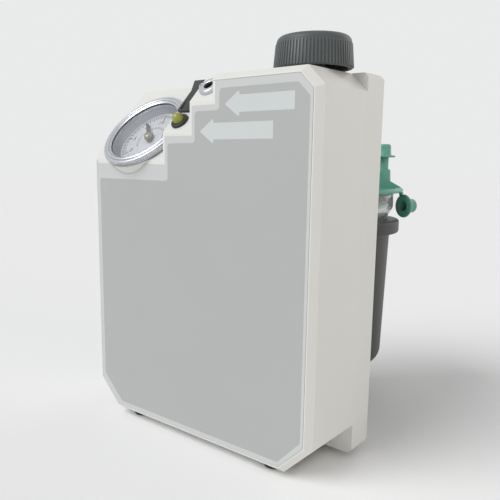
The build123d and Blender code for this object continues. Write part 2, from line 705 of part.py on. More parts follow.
motor_end = pump_x + motor_length
crankcase_x = motor_end + fit_gap
eccentric_x = motor_end + eccentric_start
diaphragm_z = pump_z + diaphragm_rise
head_z = diaphragm_z + diaphragm_thickness
head_top = head_z + head_height
pump_mid = crankcase_x + crankcase_length / 2


def make_pump_motor():
    boss, step = motor_boss, motor_boss_height
    can_end = motor_length - step
    motor = turned((0, 0), (boss, 0), (boss, step), (motor_radius - step, step), (motor_radius, 2 * step),
                   (motor_radius, can_end - step), (motor_radius - step, can_end), (boss + 1, can_end),
                   (boss + 1, motor_length), (0, motor_length))
    motor -= rod(shaft_radius + running_gap, motor_length - shaft_hold - 1, motor_length + cut_margin)
    return along_x(pump_x, pump_y, pump_z) * motor


def make_pump_shaft():
    disc_end = eccentric_x + eccentric_width
    hub_length = weight_thickness + 0.6
    shaft_end = crankcase_x + crankcase_length - 2.3
    shaft = along_x(motor_end - shaft_hold, pump_y, pump_z) * rod(shaft_radius, 0, shaft_end - motor_end + shaft_hold)
    disc = along_x(eccentric_x, pump_y, pump_z + crank_throw) * rod(eccentric_radius, 0, eccentric_width)
    reach = weight_radius
    half_disc = rod(reach, 0, weight_thickness) & block(-reach, reach, -reach, 0, 0, weight_thickness)
    weight = along_x(disc_end + 0.6, pump_y, pump_z) * half_disc
    return shaft + disc + weight + along_x(disc_end, pump_y, pump_z) * rod(eccentric_radius / 2, 0, hub_length)


def make_pump_body():
    half, x0 = crankcase_half, crankcase_x
    throat, flare = rod_plate_radius + 2.5, rod_plate_radius + 4.0
    body = block(x0, x0 + crankcase_length, pump_y - half, pump_y + half, pump_z - half, diaphragm_z)
    body -= along_x(x0 + 2.5, pump_y, pump_z) * rod(half - crankcase_wall, 0, crankcase_length)
    body -= along_x(x0 - 1, pump_y, pump_z) * rod(motor_boss + 1 + fit_gap, 0, half / 2)
    body -= rod(throat, pump_z, diaphragm_z - 4, pump_mid, pump_y)
    body -= Pos(pump_mid, pump_y, diaphragm_z) * turned((0, -5), (throat, -5), (flare, cut_margin), (0, cut_margin))
    return body


def make_pump_rod():
    """Connecting rod round the eccentric, up to the diaphragm."""
    ring = eccentric_radius + crank_throw + fit_gap
    big_end = along_x(eccentric_x, pump_y, pump_z) * pipe(ring + rod_wall, ring, 0.2, eccentric_width - 0.2)
    x0, x1 = eccentric_x + 0.2, eccentric_x + eccentric_width - 0.2
    plate_foot = diaphragm_z - rod_plate_thickness
    shank = block(x0, x1, pump_y - rod_half, pump_y + rod_half, pump_z + ring + 0.8, plate_foot + 0.4)
    return big_end + shank + rod(rod_plate_radius, plate_foot, diaphragm_z, pump_mid, pump_y)


def make_diaphragm():
    top, roll = diaphragm_thickness, diaphragm_radius - 7.0
    disc = turned((0, 0), (diaphragm_radius, 0), (diaphragm_radius, top), (roll + 1.5, top), (roll, top + 1.0),
                  (roll - 1.5, top), (0, top))
    return Pos(pump_mid, pump_y, diaphragm_z) * disc


def make_pump_head():
    half, x0 = crankcase_half, crankcase_x
    chamber = diaphragm_radius - 5.0
    head = block(x0, x0 + crankcase_length, pump_y - half, pump_y + half, head_z, head_top)
    head -= Pos(pump_mid, pump_y, head_z) * turned((0, -1), (chamber, -1), (chamber, 1.4), (4, 2.6), (0, 2.6))
    for fin in range(3):
        level = head_top - 2.5 - fin_pitch * fin
        head -= block(x0 - 1, x0 + fin_groove, pump_y - half - 1, pump_y + half + 1, level - fin_groove, level)
    for y in (pump_y, pump_y + outlet_spacing):
        head += rod(nipple_radius, head_top - overlap, head_top + nipple_length, pump_mid, y)
    return head


def make_head_screws():
    screw = rod(head_screw_radius, head_top, head_top + head_screw_height)
    reach_x, reach_y = crankcase_length / 2 - crankcase_wall, crankcase_half - crankcase_wall
    return Part() + [Pos(pump_mid + i * reach_x, pump_y + j * reach_y, 0) * screw for i in (-1, 1) for j in (-1, 1)]


def make_pump_bracket():
    """Saddle between the motor and the back wall, and its clamp band."""
    x0, x1 = pump_x + saddle_start, pump_x + saddle_start + saddle_length
    saddle = block(x0, x1, pump_y + motor_radius / 2, case_depth - wall, pump_z - saddle_half, pump_z + saddle_half)
    inner = motor_radius + running_gap
    cut = along_x(pump_x, pump_y, pump_z) * rod(inner, 0, x1)
    band = along_x((x0 + x1 - band_width) / 2, pump_y, pump_z) * pipe(inner + band_thickness, inner, 0, band_width)
    return saddle - cut + band


def make_battery():
    y0 = (case_depth - battery_depth) / 2
    body = block(battery_x, battery_x + battery_width, y0, y0 + battery_depth, battery_foot, battery_top)
    return chamfer(body.edges().filter_by(Axis.Z), battery_chamfer)


def make_battery_terminals():
    tab = Pos(0, 0, battery_top + tab_height / 2) * Box(tab_width, tab_thickness, tab_height)
    return Part() + [Pos(battery_x + x, case_depth / 2 + tab_setback, 0) * tab for x in tab_places]


def make_battery_strap():
    middle = case_width / 2 + strap_offset
    y0, y1, top = wall + fit_gap, case_depth - wall - fit_gap, battery_top + strap_thickness
    strap = block(middle - strap_width / 2, middle + strap_width / 2, y0, y1, battery_top, top)
    for side in (-1, 1):
        x = middle + side * strap_width / 3
        strap += block(x - strap_rib / 2, x + strap_rib / 2, y0, y1, top - overlap, top + strap_thickness)
    return strap


def make_control_board():
    board = block(board_x, board_x + board_width, board_y - board_thickness, board_y, board_z, board_z + board_height)
    for x, z in board_post_places():
        board -= along_y(x, board_y - 2 * board_thickness, z) * rod(board_hole, 0, 4 * board_thickness)
    return board


def make_board_parts():
    """Components on the circuit board: can capacitors, relay, heat sink and connectors."""
    face = board_y - board_thickness
    low, right = board_z + board_edge + 2, board_x + board_width - board_edge
    cans_z = board_z + board_height - capacitor_radius - 2
    pieces = [along_y(board_x + 20 + capacitor_pitch * i, face - capacitor_height, cans_z)
              * rod(capacitor_radius, 0, capacitor_height) for i in range(3)]
    relay_x = right - relay_width - 2
    pieces.append(block(relay_x, relay_x + relay_width, face - relay_depth, face, low, low + relay_height))
    for i in range(3):
        x = board_x + 3.5 * board_edge + fin_spacing * i
        pieces.append(block(x, x + fin_thickness, face - fin_depth, face, low, low + fin_height))
    plug_z = low + relay_height + board_edge
    pieces.append(block(right - plug_width, right, face - plug_depth, face, plug_z, plug_z + plug_height))
    return Part() + pieces


def make_vacuum_hose():
    """Rubber hose inside the case from the pump head to the control valve."""
    level = valve_foot - hose_drop
    start, end = head_top + fit_gap, valve_foot - fit_gap
    path = FilletPolyline((pump_mid, pump_y, start), (pump_mid, pump_y, level), (knob_x, knob_y, level),
                          (knob_x, knob_y, end), radius=hose_bend)
    ring = Circle(hose_radius) - Circle(hose_bore)
    return sweep(Plane(origin=path @ 0, z_dir=path % 0) * ring, path=path)


def spigot():
    """Hose spigot: straight shank with a tapered end and a bore."""
    tip = spigot_length + spigot_tip
    shank = turned((0, 0), (spigot_radius, 0), (spigot_radius, spigot_length), (spigot_radius - 1, tip), (0, tip))
    return shank - rod(spigot_radius - spigot_wall, -tip, tip + cut_margin)


def make_inlet_fitting():
    fitting = spigot() + pipe(inlet_collar_radius, spigot_radius - overlap, 0, inlet_collar)
    fitting += pipe(spigot_radius + 1, spigot_radius - spigot_wall, -wall - 2, 0)
    return along_y(inlet_x, case_depth, inlet_z) * fitting


def make_exhaust_muffler():
    x1, top = muffler_x + muffler_width, muffler_z + muffler_height
    back = case_depth - wall - fit_gap
    muffler = block(muffler_x, x1, back - muffler_depth, back, muffler_z, top)
    return fillet(muffler.edges().filter_by(Axis.X), muffler_round)


def make_cup_bracket():
    """Plate screwed to the case back, with the dovetail rail that the cup hangs on."""
    plate = block(can_x - bracket_half, can_x + bracket_half, case_depth, case_depth + bracket_thickness,
                  bracket_foot, bracket_foot + bracket_height)
    plate = fillet(plate.edges().filter_by(Axis.Y), bracket_round)
    for x, z in bracket_screw_places():
        plate -= along_y(x, case_depth - cut_margin, z) * rod(screw_radius + fit_gap / 2, 0, 2 * bracket_thickness)
        plate -= along_y(x, case_depth + bracket_seat, z) * rod(screw_head + fit_gap, 0, 2 * bracket_thickness)
    rail = Polyline((-rail_root, bracket_thickness), (-rail_edge, rail_depth), (rail_edge, rail_depth),
                    (rail_root, bracket_thickness), close=True)
    plate += Pos(can_x, case_depth, rail_foot) * extrude(make_face(rail), amount=rail_height)
    return plate


def make_bracket_screws():
    top = bracket_thickness - 0.2
    screw = rod(screw_radius - running_gap, -wall - 1.5, bracket_seat) + rod(screw_head, bracket_seat, top)
    screw -= Pos(0, 0, top) * Box(slot_width, 2 * screw_head, slot_depth)
    return Part() + [along_y(x, case_depth, z) * screw for x, z in bracket_screw_places()]


def cup_outside(z):
    """Cup's outer radius at a height."""
    share = (z - cup_bottom_z) / (cup_top_z - cup_bottom_z)
    return cup_low_radius + (cup_top_radius - cup_low_radius) * share


def make_canister_cup():
    """Holder cup: ring at the mouth, tapered wall, rounded foot and the claw on the rail."""
    rim_z = cup_top_z - cup_rim_height
    low = cup_bottom_z + cup_round
    side, flat = cup_outside(low), cup_outside(low) - cup_round
    body = turned((0, cup_bottom_z), (flat, cup_bottom_z), (side - 4.5, cup_bottom_z + 3.2),
                  (side - 1.2, cup_bottom_z + 7.2), (side, low), (cup_outside(rim_z), rim_z), (cup_rim_radius - 1.2, rim_z),
                  (cup_rim_radius, rim_z + 1.6), (cup_rim_radius, cup_top_z - 1.4), (cup_rim_radius - 1.4, cup_top_z),
                  (0, cup_top_z))
    inner, mouth = cup_bottom_z + cup_wall, cup_outside(cup_top_z) - cup_wall
    body -= turned((0, inner), (flat, inner), (side - 5.4, inner + 2.6), (side - cup_wall, low), (mouth, cup_top_z + 1),
                   (0, cup_top_z + 1))
    body = can_place * body
    front = case_depth + bracket_thickness + fit_gap
    back, top = can_y - cup_top_radius + cup_wall, claw_foot + claw_height
    claw = block(can_x - claw_half, can_x + claw_half, front, back, claw_foot, top)
    root, edge, floor = rail_root + fit_gap, rail_edge + fit_gap, rail_depth + fit_gap
    slot = Polyline((-root, -1), (-root, bracket_thickness), (-edge, floor), (edge, floor), (root, bracket_thickness),
                    (root, -1), close=True)
    rail_top = rail_foot + rail_height + fit_gap
    slot_foot = claw_foot - cut_margin
    claw -= Pos(can_x, case_depth, slot_foot) * extrude(make_face(slot), amount=rail_top - slot_foot)
    claw -= can_place * rod(cup_outside(claw_foot) - fit_gap, cup_bottom_z, cup_top_z)
    drain = can_place * rod(drain_radius, cup_bottom_z - cut_margin, inner + cut_margin)
    return body + claw - drain


def jar_outside(z):
    """Jar's outer radius at a height."""
    return cup_outside(z) - cup_wall - jar_gap


def make_canister_jar():
    """Clear jar: tapered wall that flares to a wide neck with a rolled rim."""
    foot = cup_bottom_z + cup_wall + 0.4
    neck = cup_top_z + 1.0
    shoulder = neck + jar_shoulder
    low = foot + cup_round
    low_radius = jar_outside(low)
    top = lid_z - 0.4
    outer = turned((0, foot + jar_step), (jar_step_radius, foot + jar_step), (jar_step_radius + 1, foot),
                   (low_radius - 11, foot), (low_radius - 3.4, foot + 4.6), (low_radius, low),
                   (jar_outside(neck), neck), (jar_neck_radius, shoulder), (jar_neck_radius, top), (0, top))
    floor = foot + jar_step + jar_wall
    bend = (low_radius - 4.4 - jar_wall / 2, foot + 5.4 + jar_wall / 2)
    inner = turned((0, floor), (low_radius - 12, floor), bend,
                   (low_radius - jar_wall, low), (jar_outside(neck) - jar_wall, neck),
                   (plug_radius, shoulder), (plug_radius, top + cut_margin), (0, top + cut_margin))
    return can_place * (outer - inner)


def make_lid_seal():
    foot, top = lid_z - groove_foot + 0.2, lid_z - groove_top - 0.2
    return can_place * pipe(plug_radius - running_gap, plug_radius - seal_width, foot, top)


def make_canister_lid():
    """Lid: rim, plug with its seal groove, capped port, vacuum port and stiffening ribs."""
    outside = plug_radius - plug_gap
    inside = plug_radius - plug_wall
    groove = outside - groove_depth
    seat, top, foot = lid_z - 1, lid_top, lid_z - plug_depth_below_rim
    dish = top - rim_round
    land = lid_radius - rim_land
    groove_z0, groove_z1 = lid_z - groove_foot, lid_z - groove_top
    lid = can_place * turned(
        (0, seat), (inside, seat), (inside, foot), (outside, foot), (outside, groove_z0), (groove, groove_z0),
        (groove, groove_z1), (outside, groove_z1), (outside, lid_z), (lid_radius - rim_round, lid_z),
        (lid_radius, lid_z + rim_round), (lid_radius, dish), (lid_radius - rim_round, top), (land, top),
        (land - 1, dish), (0, dish))
    root, base_top = top - 1, top + port_base_height
    base = turned((0, root), (port_base_radius, root), (port_base_radius - port_base_taper, base_top), (0, base_top))
    neck = rod(port_neck_radius, top, cap_seat + cap_length - cap_wall - 1.0)
    lid += around(port_angle, port_reach) * (base + neck)
    boss = rod(vacuum_boss_radius, 0, vacuum_boss_height) + Pos(0, 0, vacuum_boss_height) * spigot()
    lid += around(vacuum_bearing, vacuum_reach, root) * boss
    rib = block(lid_rib_start, lid_rib_end, -lid_rib_half, lid_rib_half, root, top + lid_rib_rise)
    for i in range(lid_rib_count):
        lid += can_place * Rot(0, 0, 10 + 360 / lid_rib_count * i) * rib
    lid += can_place * Rot(0, 0, web_bearing) * sloping_web()
    lid -= around(port_angle, port_reach) * rod(port_neck_radius - port_wall, seat - cut_margin, 2 * cap_seat)
    lid -= around(vacuum_bearing, vacuum_reach) * rod(spigot_radius - spigot_wall, seat - cut_margin, 2 * cap_seat)
    return lid


def sloping_web():
    """Thin web that slopes from the rim up towards the middle of the lid."""
    root, tip, top = lid_top - 1, lid_radius - 1.5, lid_top + web_height
    face = Polyline((web_start, root), (tip, root), (tip, lid_top + 0.4), (web_knee, top), (web_start, top),
                    close=True)
    return Pos(0, web_thickness / 2, 0) * extrude(Plane.XZ * make_face(face), amount=web_thickness)


def cap_shape():
    """Soft cap with a wide flange at its open end; its axis is z."""
    cap = rod(cap_flange_radius, 0, cap_flange)
    shoulder = (cap_radius - cap_taper, cap_length - cap_round)
    cap += turned((0, 0), (cap_radius, 0), shoulder, (cap_radius - cap_round, cap_length), (0, cap_length))
    return cap - rod(port_neck_radius + running_gap, -cut_margin, cap_length - cap_wall)


def make_port_cap():
    return around(port_angle, port_reach, cap_seat) * cap_shape()


def spare_place():
    angle, heading = radians(spare_bearing), radians(spare_heading)
    origin = (can_x + spare_reach * cos(angle), can_y + spare_reach * sin(angle), spare_z)
    return Plane(origin=origin, x_dir=(0, 0, 1), z_dir=(cos(heading), sin(heading), 0)).location


def make_spare_cap():
    return spare_place() * cap_shape()


def make_cap_tether():
    """Strap from under the lid rim down to the flange of the loose cap."""
    seat = spare_place() * Pos(0, -tether_inset, cap_flange / 2)
    x, y = seat.position.X, seat.position.Y
    half = tether_half
    strap = block(x - half, x + half, y - half, y + half, spare_z + cap_flange_radius - 3, lid_z)
    return strap - spare_place() * rod(cap_flange_radius + 0.02, -2 * half, cap_flange + 2 * half)


def make_float_cage():
    """Cage under the lid that guides the shut-off float."""
    foot, inside = cage_top - cage_height, float_radius + cage_gap
    outside = inside + cage_wall
    cage = pipe(outside, inside, foot, cage_top)
    window = block(-2 * outside, 2 * outside, -cage_slot, cage_slot, foot + 2 * cage_floor, cage_top - 2 * cage_slot)
    for bearing in (0, 60, 120):
        cage -= Rot(0, 0, bearing) * window
    return can_place * (cage + rod(inside + 0.4, foot, foot + cage_floor))


def make_float_ball():
    foot = cage_top - cage_height + cage_floor + fit_gap
    top, radius = foot + float_height, float_radius
    ball = turned((0, foot), (radius - float_round, foot), (radius, foot + float_round), (radius, top - float_cone),
                  (radius / 2, top - 1), (0, top))
    return can_place * ball


makers = {
    "front_shell": make_front_shell, "rear_shell": make_rear_shell, "front_label": make_front_label,
    "case_screws": make_case_screws, "rubber_feet": make_feet, "foot_screws": make_foot_screws,
    "gauge_case": make_gauge_case, "gauge_bezel": make_gauge_bezel, "gauge_lens": make_gauge_lens,
    "gauge_dial": make_gauge_dial, "gauge_needle": make_gauge_needle, "gauge_sector": make_gauge_sector,
    "gauge_plate": make_gauge_plate, "bourdon_tube": make_bourdon_tube,
    "lamp_holder": make_lamp_holder, "lamp_lens": make_lamp_lens,
    "switch_body": make_switch_body, "switch_rocker": make_switch_rocker,
    "switch_terminals": make_switch_terminals,
    "socket_body": make_socket_body, "socket_pin": make_socket_pin, "socket_nut": make_socket_nut,
    "vacuum_knob": make_knob, "valve_stem": make_valve_stem, "valve_body": make_valve_body,
    "valve_nut": make_valve_nut,
    "pump_motor": make_pump_motor, "pump_shaft": make_pump_shaft, "pump_body": make_pump_body,
    "pump_rod": make_pump_rod, "diaphragm": make_diaphragm, "pump_head": make_pump_head,
    "head_screws": make_head_screws, "pump_bracket": make_pump_bracket,
    "battery": make_battery, "battery_terminals": make_battery_terminals, "battery_strap": make_battery_strap,
    "control_board": make_control_board, "board_parts": make_board_parts, "vacuum_hose": make_vacuum_hose,
    "inlet_fitting": make_inlet_fitting, "exhaust_muffler": make_exhaust_muffler,
    "cup_bracket": make_cup_bracket, "bracket_screws": make_bracket_screws,
    "canister_cup": make_canister_cup, "canister_jar": make_canister_jar, "lid_seal": make_lid_seal,
    "canister_lid": make_canister_lid, "float_cage": make_float_cage, "float_ball": make_float_ball,
    "port_cap": make_port_cap, "spare_cap": make_spare_cap, "cap_tether": make_cap_tether,
}
for name, make in makers.items():
    parts[name] = make()

footprint = Compound(children=[Compound(part.solids()) for part in parts.values()]).bounding_box()
origin = Pos(-(footprint.min.X + footprint.max.X) / 2, -(footprint.min.Y + footprint.max.Y) / 2, -footprint.min.Z)
os.makedirs("parts", exist_ok=True)
for name, part in parts.items():
    export_step(origin * Compound(part.solids()), f"parts/{name}.step")
print("origin moved by", origin.position)
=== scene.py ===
# %% [markdown]
# # A portable vacuum aspirator
# The case is a flat box of two mouldings with three sloping terraces at its top left: one for
# the vacuum gauge, one for the lamp and the rocker switch, one for the charging socket. A ribbed
# knob stands on the right, and a clear canister with a teal lid hangs in a cup behind.
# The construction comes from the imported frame, and this notebook adds the finish.

# %% Load the frame
import json
from math import atan2, cos, degrees, pi, radians, sin, sqrt, tan

import bmesh
import bpy
from mathutils import Matrix, Vector


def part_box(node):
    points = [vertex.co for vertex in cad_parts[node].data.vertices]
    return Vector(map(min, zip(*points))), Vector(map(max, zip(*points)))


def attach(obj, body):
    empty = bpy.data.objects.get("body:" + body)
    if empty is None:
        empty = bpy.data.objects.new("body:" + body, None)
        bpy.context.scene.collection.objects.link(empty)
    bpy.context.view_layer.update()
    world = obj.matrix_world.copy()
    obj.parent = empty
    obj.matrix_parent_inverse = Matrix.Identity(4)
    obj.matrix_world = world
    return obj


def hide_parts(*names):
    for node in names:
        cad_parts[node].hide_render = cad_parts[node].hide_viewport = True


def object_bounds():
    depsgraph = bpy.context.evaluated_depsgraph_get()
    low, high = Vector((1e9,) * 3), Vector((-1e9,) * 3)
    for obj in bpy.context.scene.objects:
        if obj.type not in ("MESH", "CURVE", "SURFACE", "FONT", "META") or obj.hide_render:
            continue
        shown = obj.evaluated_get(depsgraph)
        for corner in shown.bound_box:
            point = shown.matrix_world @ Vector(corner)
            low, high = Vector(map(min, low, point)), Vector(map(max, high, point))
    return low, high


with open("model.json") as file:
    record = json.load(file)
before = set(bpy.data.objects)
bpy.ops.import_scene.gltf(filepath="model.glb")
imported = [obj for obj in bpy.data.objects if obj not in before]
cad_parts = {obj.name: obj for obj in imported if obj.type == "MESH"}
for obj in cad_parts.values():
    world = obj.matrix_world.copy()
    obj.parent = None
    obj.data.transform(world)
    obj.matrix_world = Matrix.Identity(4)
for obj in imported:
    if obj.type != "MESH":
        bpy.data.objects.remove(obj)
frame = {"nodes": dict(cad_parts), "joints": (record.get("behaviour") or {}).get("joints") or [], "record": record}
cad_low, cad_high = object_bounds()
MM = 0.001
print("frame", len(frame["nodes"]), "nodes, box", [round(v / MM, 1) for v in cad_high - cad_low])

# %% [markdown]
# ## Where things are
# Every place is read from the frame: corners of nodes, and the points that joints turn about.
# Sizes below are millimetres, measured from those places, and `MM` turns them into metres.

# %% Places
case_low, case_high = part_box("front_shell")
corner = Vector((case_low.x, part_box("front_label")[0].y, case_low.z))
joints = {joint["name"]: joint for joint in frame["joints"]}
FACET_OUT = Vector((0, -sqrt(0.5), sqrt(0.5)))
FACET_UP = Vector((0, sqrt(0.5), sqrt(0.5)))
ACROSS = Vector((1, 0, 0))


def new_object(name, data):
    """Object linked to the scene."""
    obj = bpy.data.objects.new(name, data)
    bpy.context.scene.collection.objects.link(obj)
    return obj


def baked(obj):
    """Mesh of an object as its modifiers or curve settings leave it."""
    bpy.context.view_layer.update()
    return bpy.data.meshes.new_from_object(obj.evaluated_get(bpy.context.evaluated_depsgraph_get()))


def place_of(origin, x_axis, y_axis, z_axis):
    """Matrix that puts millimetres drawn at the origin onto three axes at a point."""
    turn = Matrix((x_axis, y_axis, z_axis)).transposed().to_4x4()
    return Matrix.Translation(origin) @ turn @ Matrix.Scale(MM, 4)


def local_box(node, x_axis, y_axis, z_axis):
    """Lowest and highest reach of a node along three axes."""
    points = [v.co for v in frame["nodes"][node].data.vertices]
    rows = [[p.dot(axis) for p in points] for axis in (x_axis, y_axis, z_axis)]
    return Vector([min(r) for r in rows]), Vector([max(r) for r in rows])


def facet_place(node, top):
    """Place on the terrace under a round or square node whose top stands that far out of it."""
    low, high = local_box(node, ACROSS, FACET_UP, FACET_OUT)
    mid = (low + high) / 2
    origin = ACROSS * mid.x + FACET_UP * mid.y + FACET_OUT * (high.z - top * MM)
    return place_of(origin, ACROSS, FACET_UP, FACET_OUT)


def upright(node):
    """Place on the upright middle line of a node, at the height of the case's underside."""
    low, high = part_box(node)
    foot = Vector(((low.x + high.x) / 2, (low.y + high.y) / 2, corner.z))
    return Matrix.Translation(foot) @ Matrix.Scale(MM, 4)


gauge_at = place_of(Vector(joints["needle_turn"]["pos_m"]), ACROSS, FACET_UP, FACET_OUT)
lamp_at = facet_place("lamp_holder", 2.0)
switch_at = facet_place("switch_body", 1.8)
socket_at = facet_place("socket_body", 2.4)
knob_at = upright("vacuum_knob")
jar_at = upright("canister_jar")
cap_at = upright("port_cap")
case_at = Matrix.Translation(corner) @ Matrix.Scale(MM, 4)
for label, place in (("gauge", gauge_at), ("jar", jar_at)):
    print(label, "at", [round(v, 4) for v in place.translation])

# %% [markdown]
# ## Camera, light and floor
# The camera stands where the photograph was taken from, a little below the top of the case and
# to its right. Its principal point is off centre, so the lens has a small shift.
# Three soft suns and an even sky light the object, so the floor has one level out to the
# horizon, and what the camera sees above it has that same level.

# %% Camera
FRAME_PIXELS = 500
FOCAL_PIXELS = 607.5
PRINCIPAL = (219.9, 262.2)
CAMERA_FROM_CORNER = Vector((361.5, -282.3, 190.1)) * MM
AZIMUTH, PITCH, ROLL = radians(40.34), radians(10.01), radians(0.33)

lens = bpy.data.cameras.new("camera")
lens.sensor_width = 36.0
lens.lens = FOCAL_PIXELS / FRAME_PIXELS * lens.sensor_width
lens.shift_x = 0.5 - PRINCIPAL[0] / FRAME_PIXELS
lens.shift_y = PRINCIPAL[1] / FRAME_PIXELS - 0.5
camera = new_object("camera", lens)
forward = Vector((-sin(AZIMUTH) * cos(PITCH), cos(AZIMUTH) * cos(PITCH), -sin(PITCH)))
level_right = Vector((cos(AZIMUTH), sin(AZIMUTH), 0))
level_up = level_right.cross(forward)
right = level_right * cos(ROLL) + level_up * sin(ROLL)
up = level_up * cos(ROLL) - level_right * sin(ROLL)
camera_turn = Matrix((right, up, -forward)).transposed().to_4x4()
camera.matrix_world = Matrix.Translation(corner + CAMERA_FROM_CORNER) @ camera_turn
bpy.context.scene.camera = camera
print("camera lens", round(lens.lens, 2), "shift", round(lens.shift_x, 3), round(lens.shift_y, 3))


# %% Lamps and sky
def soft_sun(name, heading, level, colour=(1, 1, 1), spread=40):
    """Soft sun from a direction; level is the light that it adds to a surface square to it."""
    data = bpy.data.lights.new(name, "SUN")
    data.energy = level * pi
    data.angle = radians(spread)
    data.color = colour
    sun = new_object(name, data)
    sun.rotation_euler = (-Vector(heading)).to_track_quat("-Z", "Y").to_euler()
    return level * Vector(heading).normalized().z


SKY_FILL = 0.42
floor_level = SKY_FILL
floor_level += soft_sun("key", (-0.50, -1.05, 1.00), 0.56)
floor_level += soft_sun("side", (1.0, -0.05, 0.10), 0.13, (1.0, 0.80, 0.56))
floor_level += soft_sun("back", (0.3, 1.0, 0.45), 0.12)
FLOOR_PAINT = (0.97, 0.975, 0.98)
world = bpy.data.worlds.new("sky")
bpy.context.scene.world = world
world.use_nodes = True
sky = world.node_tree
sky.nodes.clear()
path = sky.nodes.new("ShaderNodeLightPath")
seen = sky.nodes.new("ShaderNodeMath")
seen.operation = "MAXIMUM"
seen_too = sky.nodes.new("ShaderNodeMath")
seen_too.operation = "MAXIMUM"
fill = sky.nodes.new("ShaderNodeBackground")
fill.inputs["Color"].default_value = (1, 1, 1, 1)
fill.inputs["Strength"].default_value = SKY_FILL
white = sky.nodes.new("ShaderNodeBackground")
white.inputs["Color"].default_value = (*[c * floor_level for c in FLOOR_PAINT], 1)
choose = sky.nodes.new("ShaderNodeMixShader")
out = sky.nodes.new("ShaderNodeOutputWorld")
sky.links.new(path.outputs["Is Camera Ray"], seen.inputs[0])
sky.links.new(path.outputs["Is Glossy Ray"], seen.inputs[1])
sky.links.new(seen.outputs[0], seen_too.inputs[0])
sky.links.new(path.outputs["Is Transmission Ray"], seen_too.inputs[1])
sky.links.new(seen_too.outputs[0], choose.inputs["Fac"])
sky.links.new(fill.outputs[0], choose.inputs[1])
sky.links.new(white.outputs[0], choose.inputs[2])
sky.links.new(choose.outputs[0], out.inputs["Surface"])
bpy.context.scene.view_settings.view_transform = "Standard"

# %% [markdown]
# ## Sums on sockets
# Shader maths reads better as an expression than as a row of links. `Wire` wraps one socket, and
# `+ - *` on it add the Math nodes. `Finish` owns a material, and its `node` adds any other node.


# %% The wrapper and the finish
class Wire:
    """An output socket that can be used in sums."""

    def __init__(self, finish, socket):
        self.finish = finish
        self.socket = socket

    def _math(self, operation, left, right):
        return self.finish.node("ShaderNodeMath", {"operation": operation}, {0: left, 1: right})

    def __add__(self, other):
        return self._math("ADD", self, other)

    def __sub__(self, other):
        return self._math("SUBTRACT", self, other)

    def __mul__(self, other):
        return self._math("MULTIPLY", self, other)

    __radd__ = __add__


class Finish:
    """A material and the short ways to build it."""

    def __init__(self, name):
        self.material = bpy.data.materials.new(name)
        self.material.use_nodes = True
        self.tree = self.material.node_tree
        self.tree.nodes.clear()
        self.shader = self.tree.nodes.new("ShaderNodeBsdfPrincipled")
        out = self.tree.nodes.new("ShaderNodeOutputMaterial")
        self.tree.links.new(self.shader.outputs[0], out.inputs["Surface"])
        self.place = self.node("ShaderNodeTexCoord", output="Object")

    def node(self, kind, settings=(), inputs=(), output=0):
        """Add a node: its settings first, then values or wires for its sockets."""
        made = self.tree.nodes.new(kind)
        for name, value in dict(settings).items():
            if name == "stops":
                ramp = made.color_ramp
                for spot, (position, grey) in zip((ramp.elements[0], ramp.elements[1]), value):
                    spot.position = position
                    spot.color = (grey, grey, grey, 1)
            else:
                setattr(made, name, value)
        for key, value in dict(inputs).items():
            self.feed(made.inputs[key], value)
        return Wire(self, made.outputs[output])

    def feed(self, socket, value):
        if isinstance(value, Wire):
            self.tree.links.new(value.socket, socket)
        else:
            socket.default_value = value

    def surface(self, **values):
        """Set the shader's sockets; names have _ for a space."""
        for name, value in values.items():
            self.feed(self.shader.inputs[name.replace("_", " ")], value)
        return self

    def noise(self, size_mm, detail=3.0, stretch=(1, 1, 1)):
        """Noise with marks of about this size."""
        spread = self.node("ShaderNodeMapping", {}, {"Vector": self.place, "Scale": stretch})
        return self.node("ShaderNodeTexNoise", {},
                         {"Vector": spread, "Scale": 1 / (size_mm * MM), "Detail": detail})

    def mix(self, share, first, second):
        """Colour between two colours."""
        return self.node("ShaderNodeMix", {"data_type": "RGBA"}, {0: share, 6: first, 7: second}, output=2)

    def bump(self, height, depth_mm):
        """Normal from a height wire."""
        return self.node("ShaderNodeBump", {},
                         {"Height": height, "Distance": depth_mm * MM, "Strength": 1.0})

    def edges(self):
        """1 on worn outer edges, 0 elsewhere."""
        point = self.node("ShaderNodeNewGeometry", output="Pointiness")
        return self.node("ShaderNodeValToRGB", {"stops": ((0.52, 0), (0.62, 1))}, {"Fac": point})


def rgb(red, green, blue):
    """Colour from screen values 0 to 255."""
    shares = [c / 255 for c in (red, green, blue)]
    linear = [s / 12.92 if s <= 0.04045 else ((s + 0.055) / 1.055) ** 2.4 for s in shares]
    return (*linear, 1.0)


# %% [markdown]
# ## Moulded plastics
# Moulded plastic is never one flat value. The tool is spark-eroded, so the skin has a fine grain
# that shows as bump; the colour drifts a little over a large panel; handling polishes the rims.


# %% Moulded finishes
def moulded(name, colour, dark, roughness=0.45, grain_mm=0.35, grain_depth=0.02, rim=0.25, specular=0.4):
    """Plastic with a spark-eroded grain, slow drift in colour and slightly polished edges."""
    finish = Finish(name)
    drift = finish.noise(38, 2.0)
    fleck = finish.noise(1.3, 4.0)
    worn = finish.edges()
    share = drift * 0.55 + fleck * 0.35
    tone = finish.mix(share, colour, dark)
    lifted = finish.mix(worn * rim, tone, (*[min(1.0, c * 1.25 + 0.02) for c in colour[:3]], 1))
    grain = finish.noise(grain_mm, 2.0)
    finish.surface(Base_Color=lifted, Roughness=roughness + fleck * 0.12 - worn * 0.08,
                   Normal=finish.bump(grain, grain_depth), Specular_IOR_Level=specular)
    return finish.material


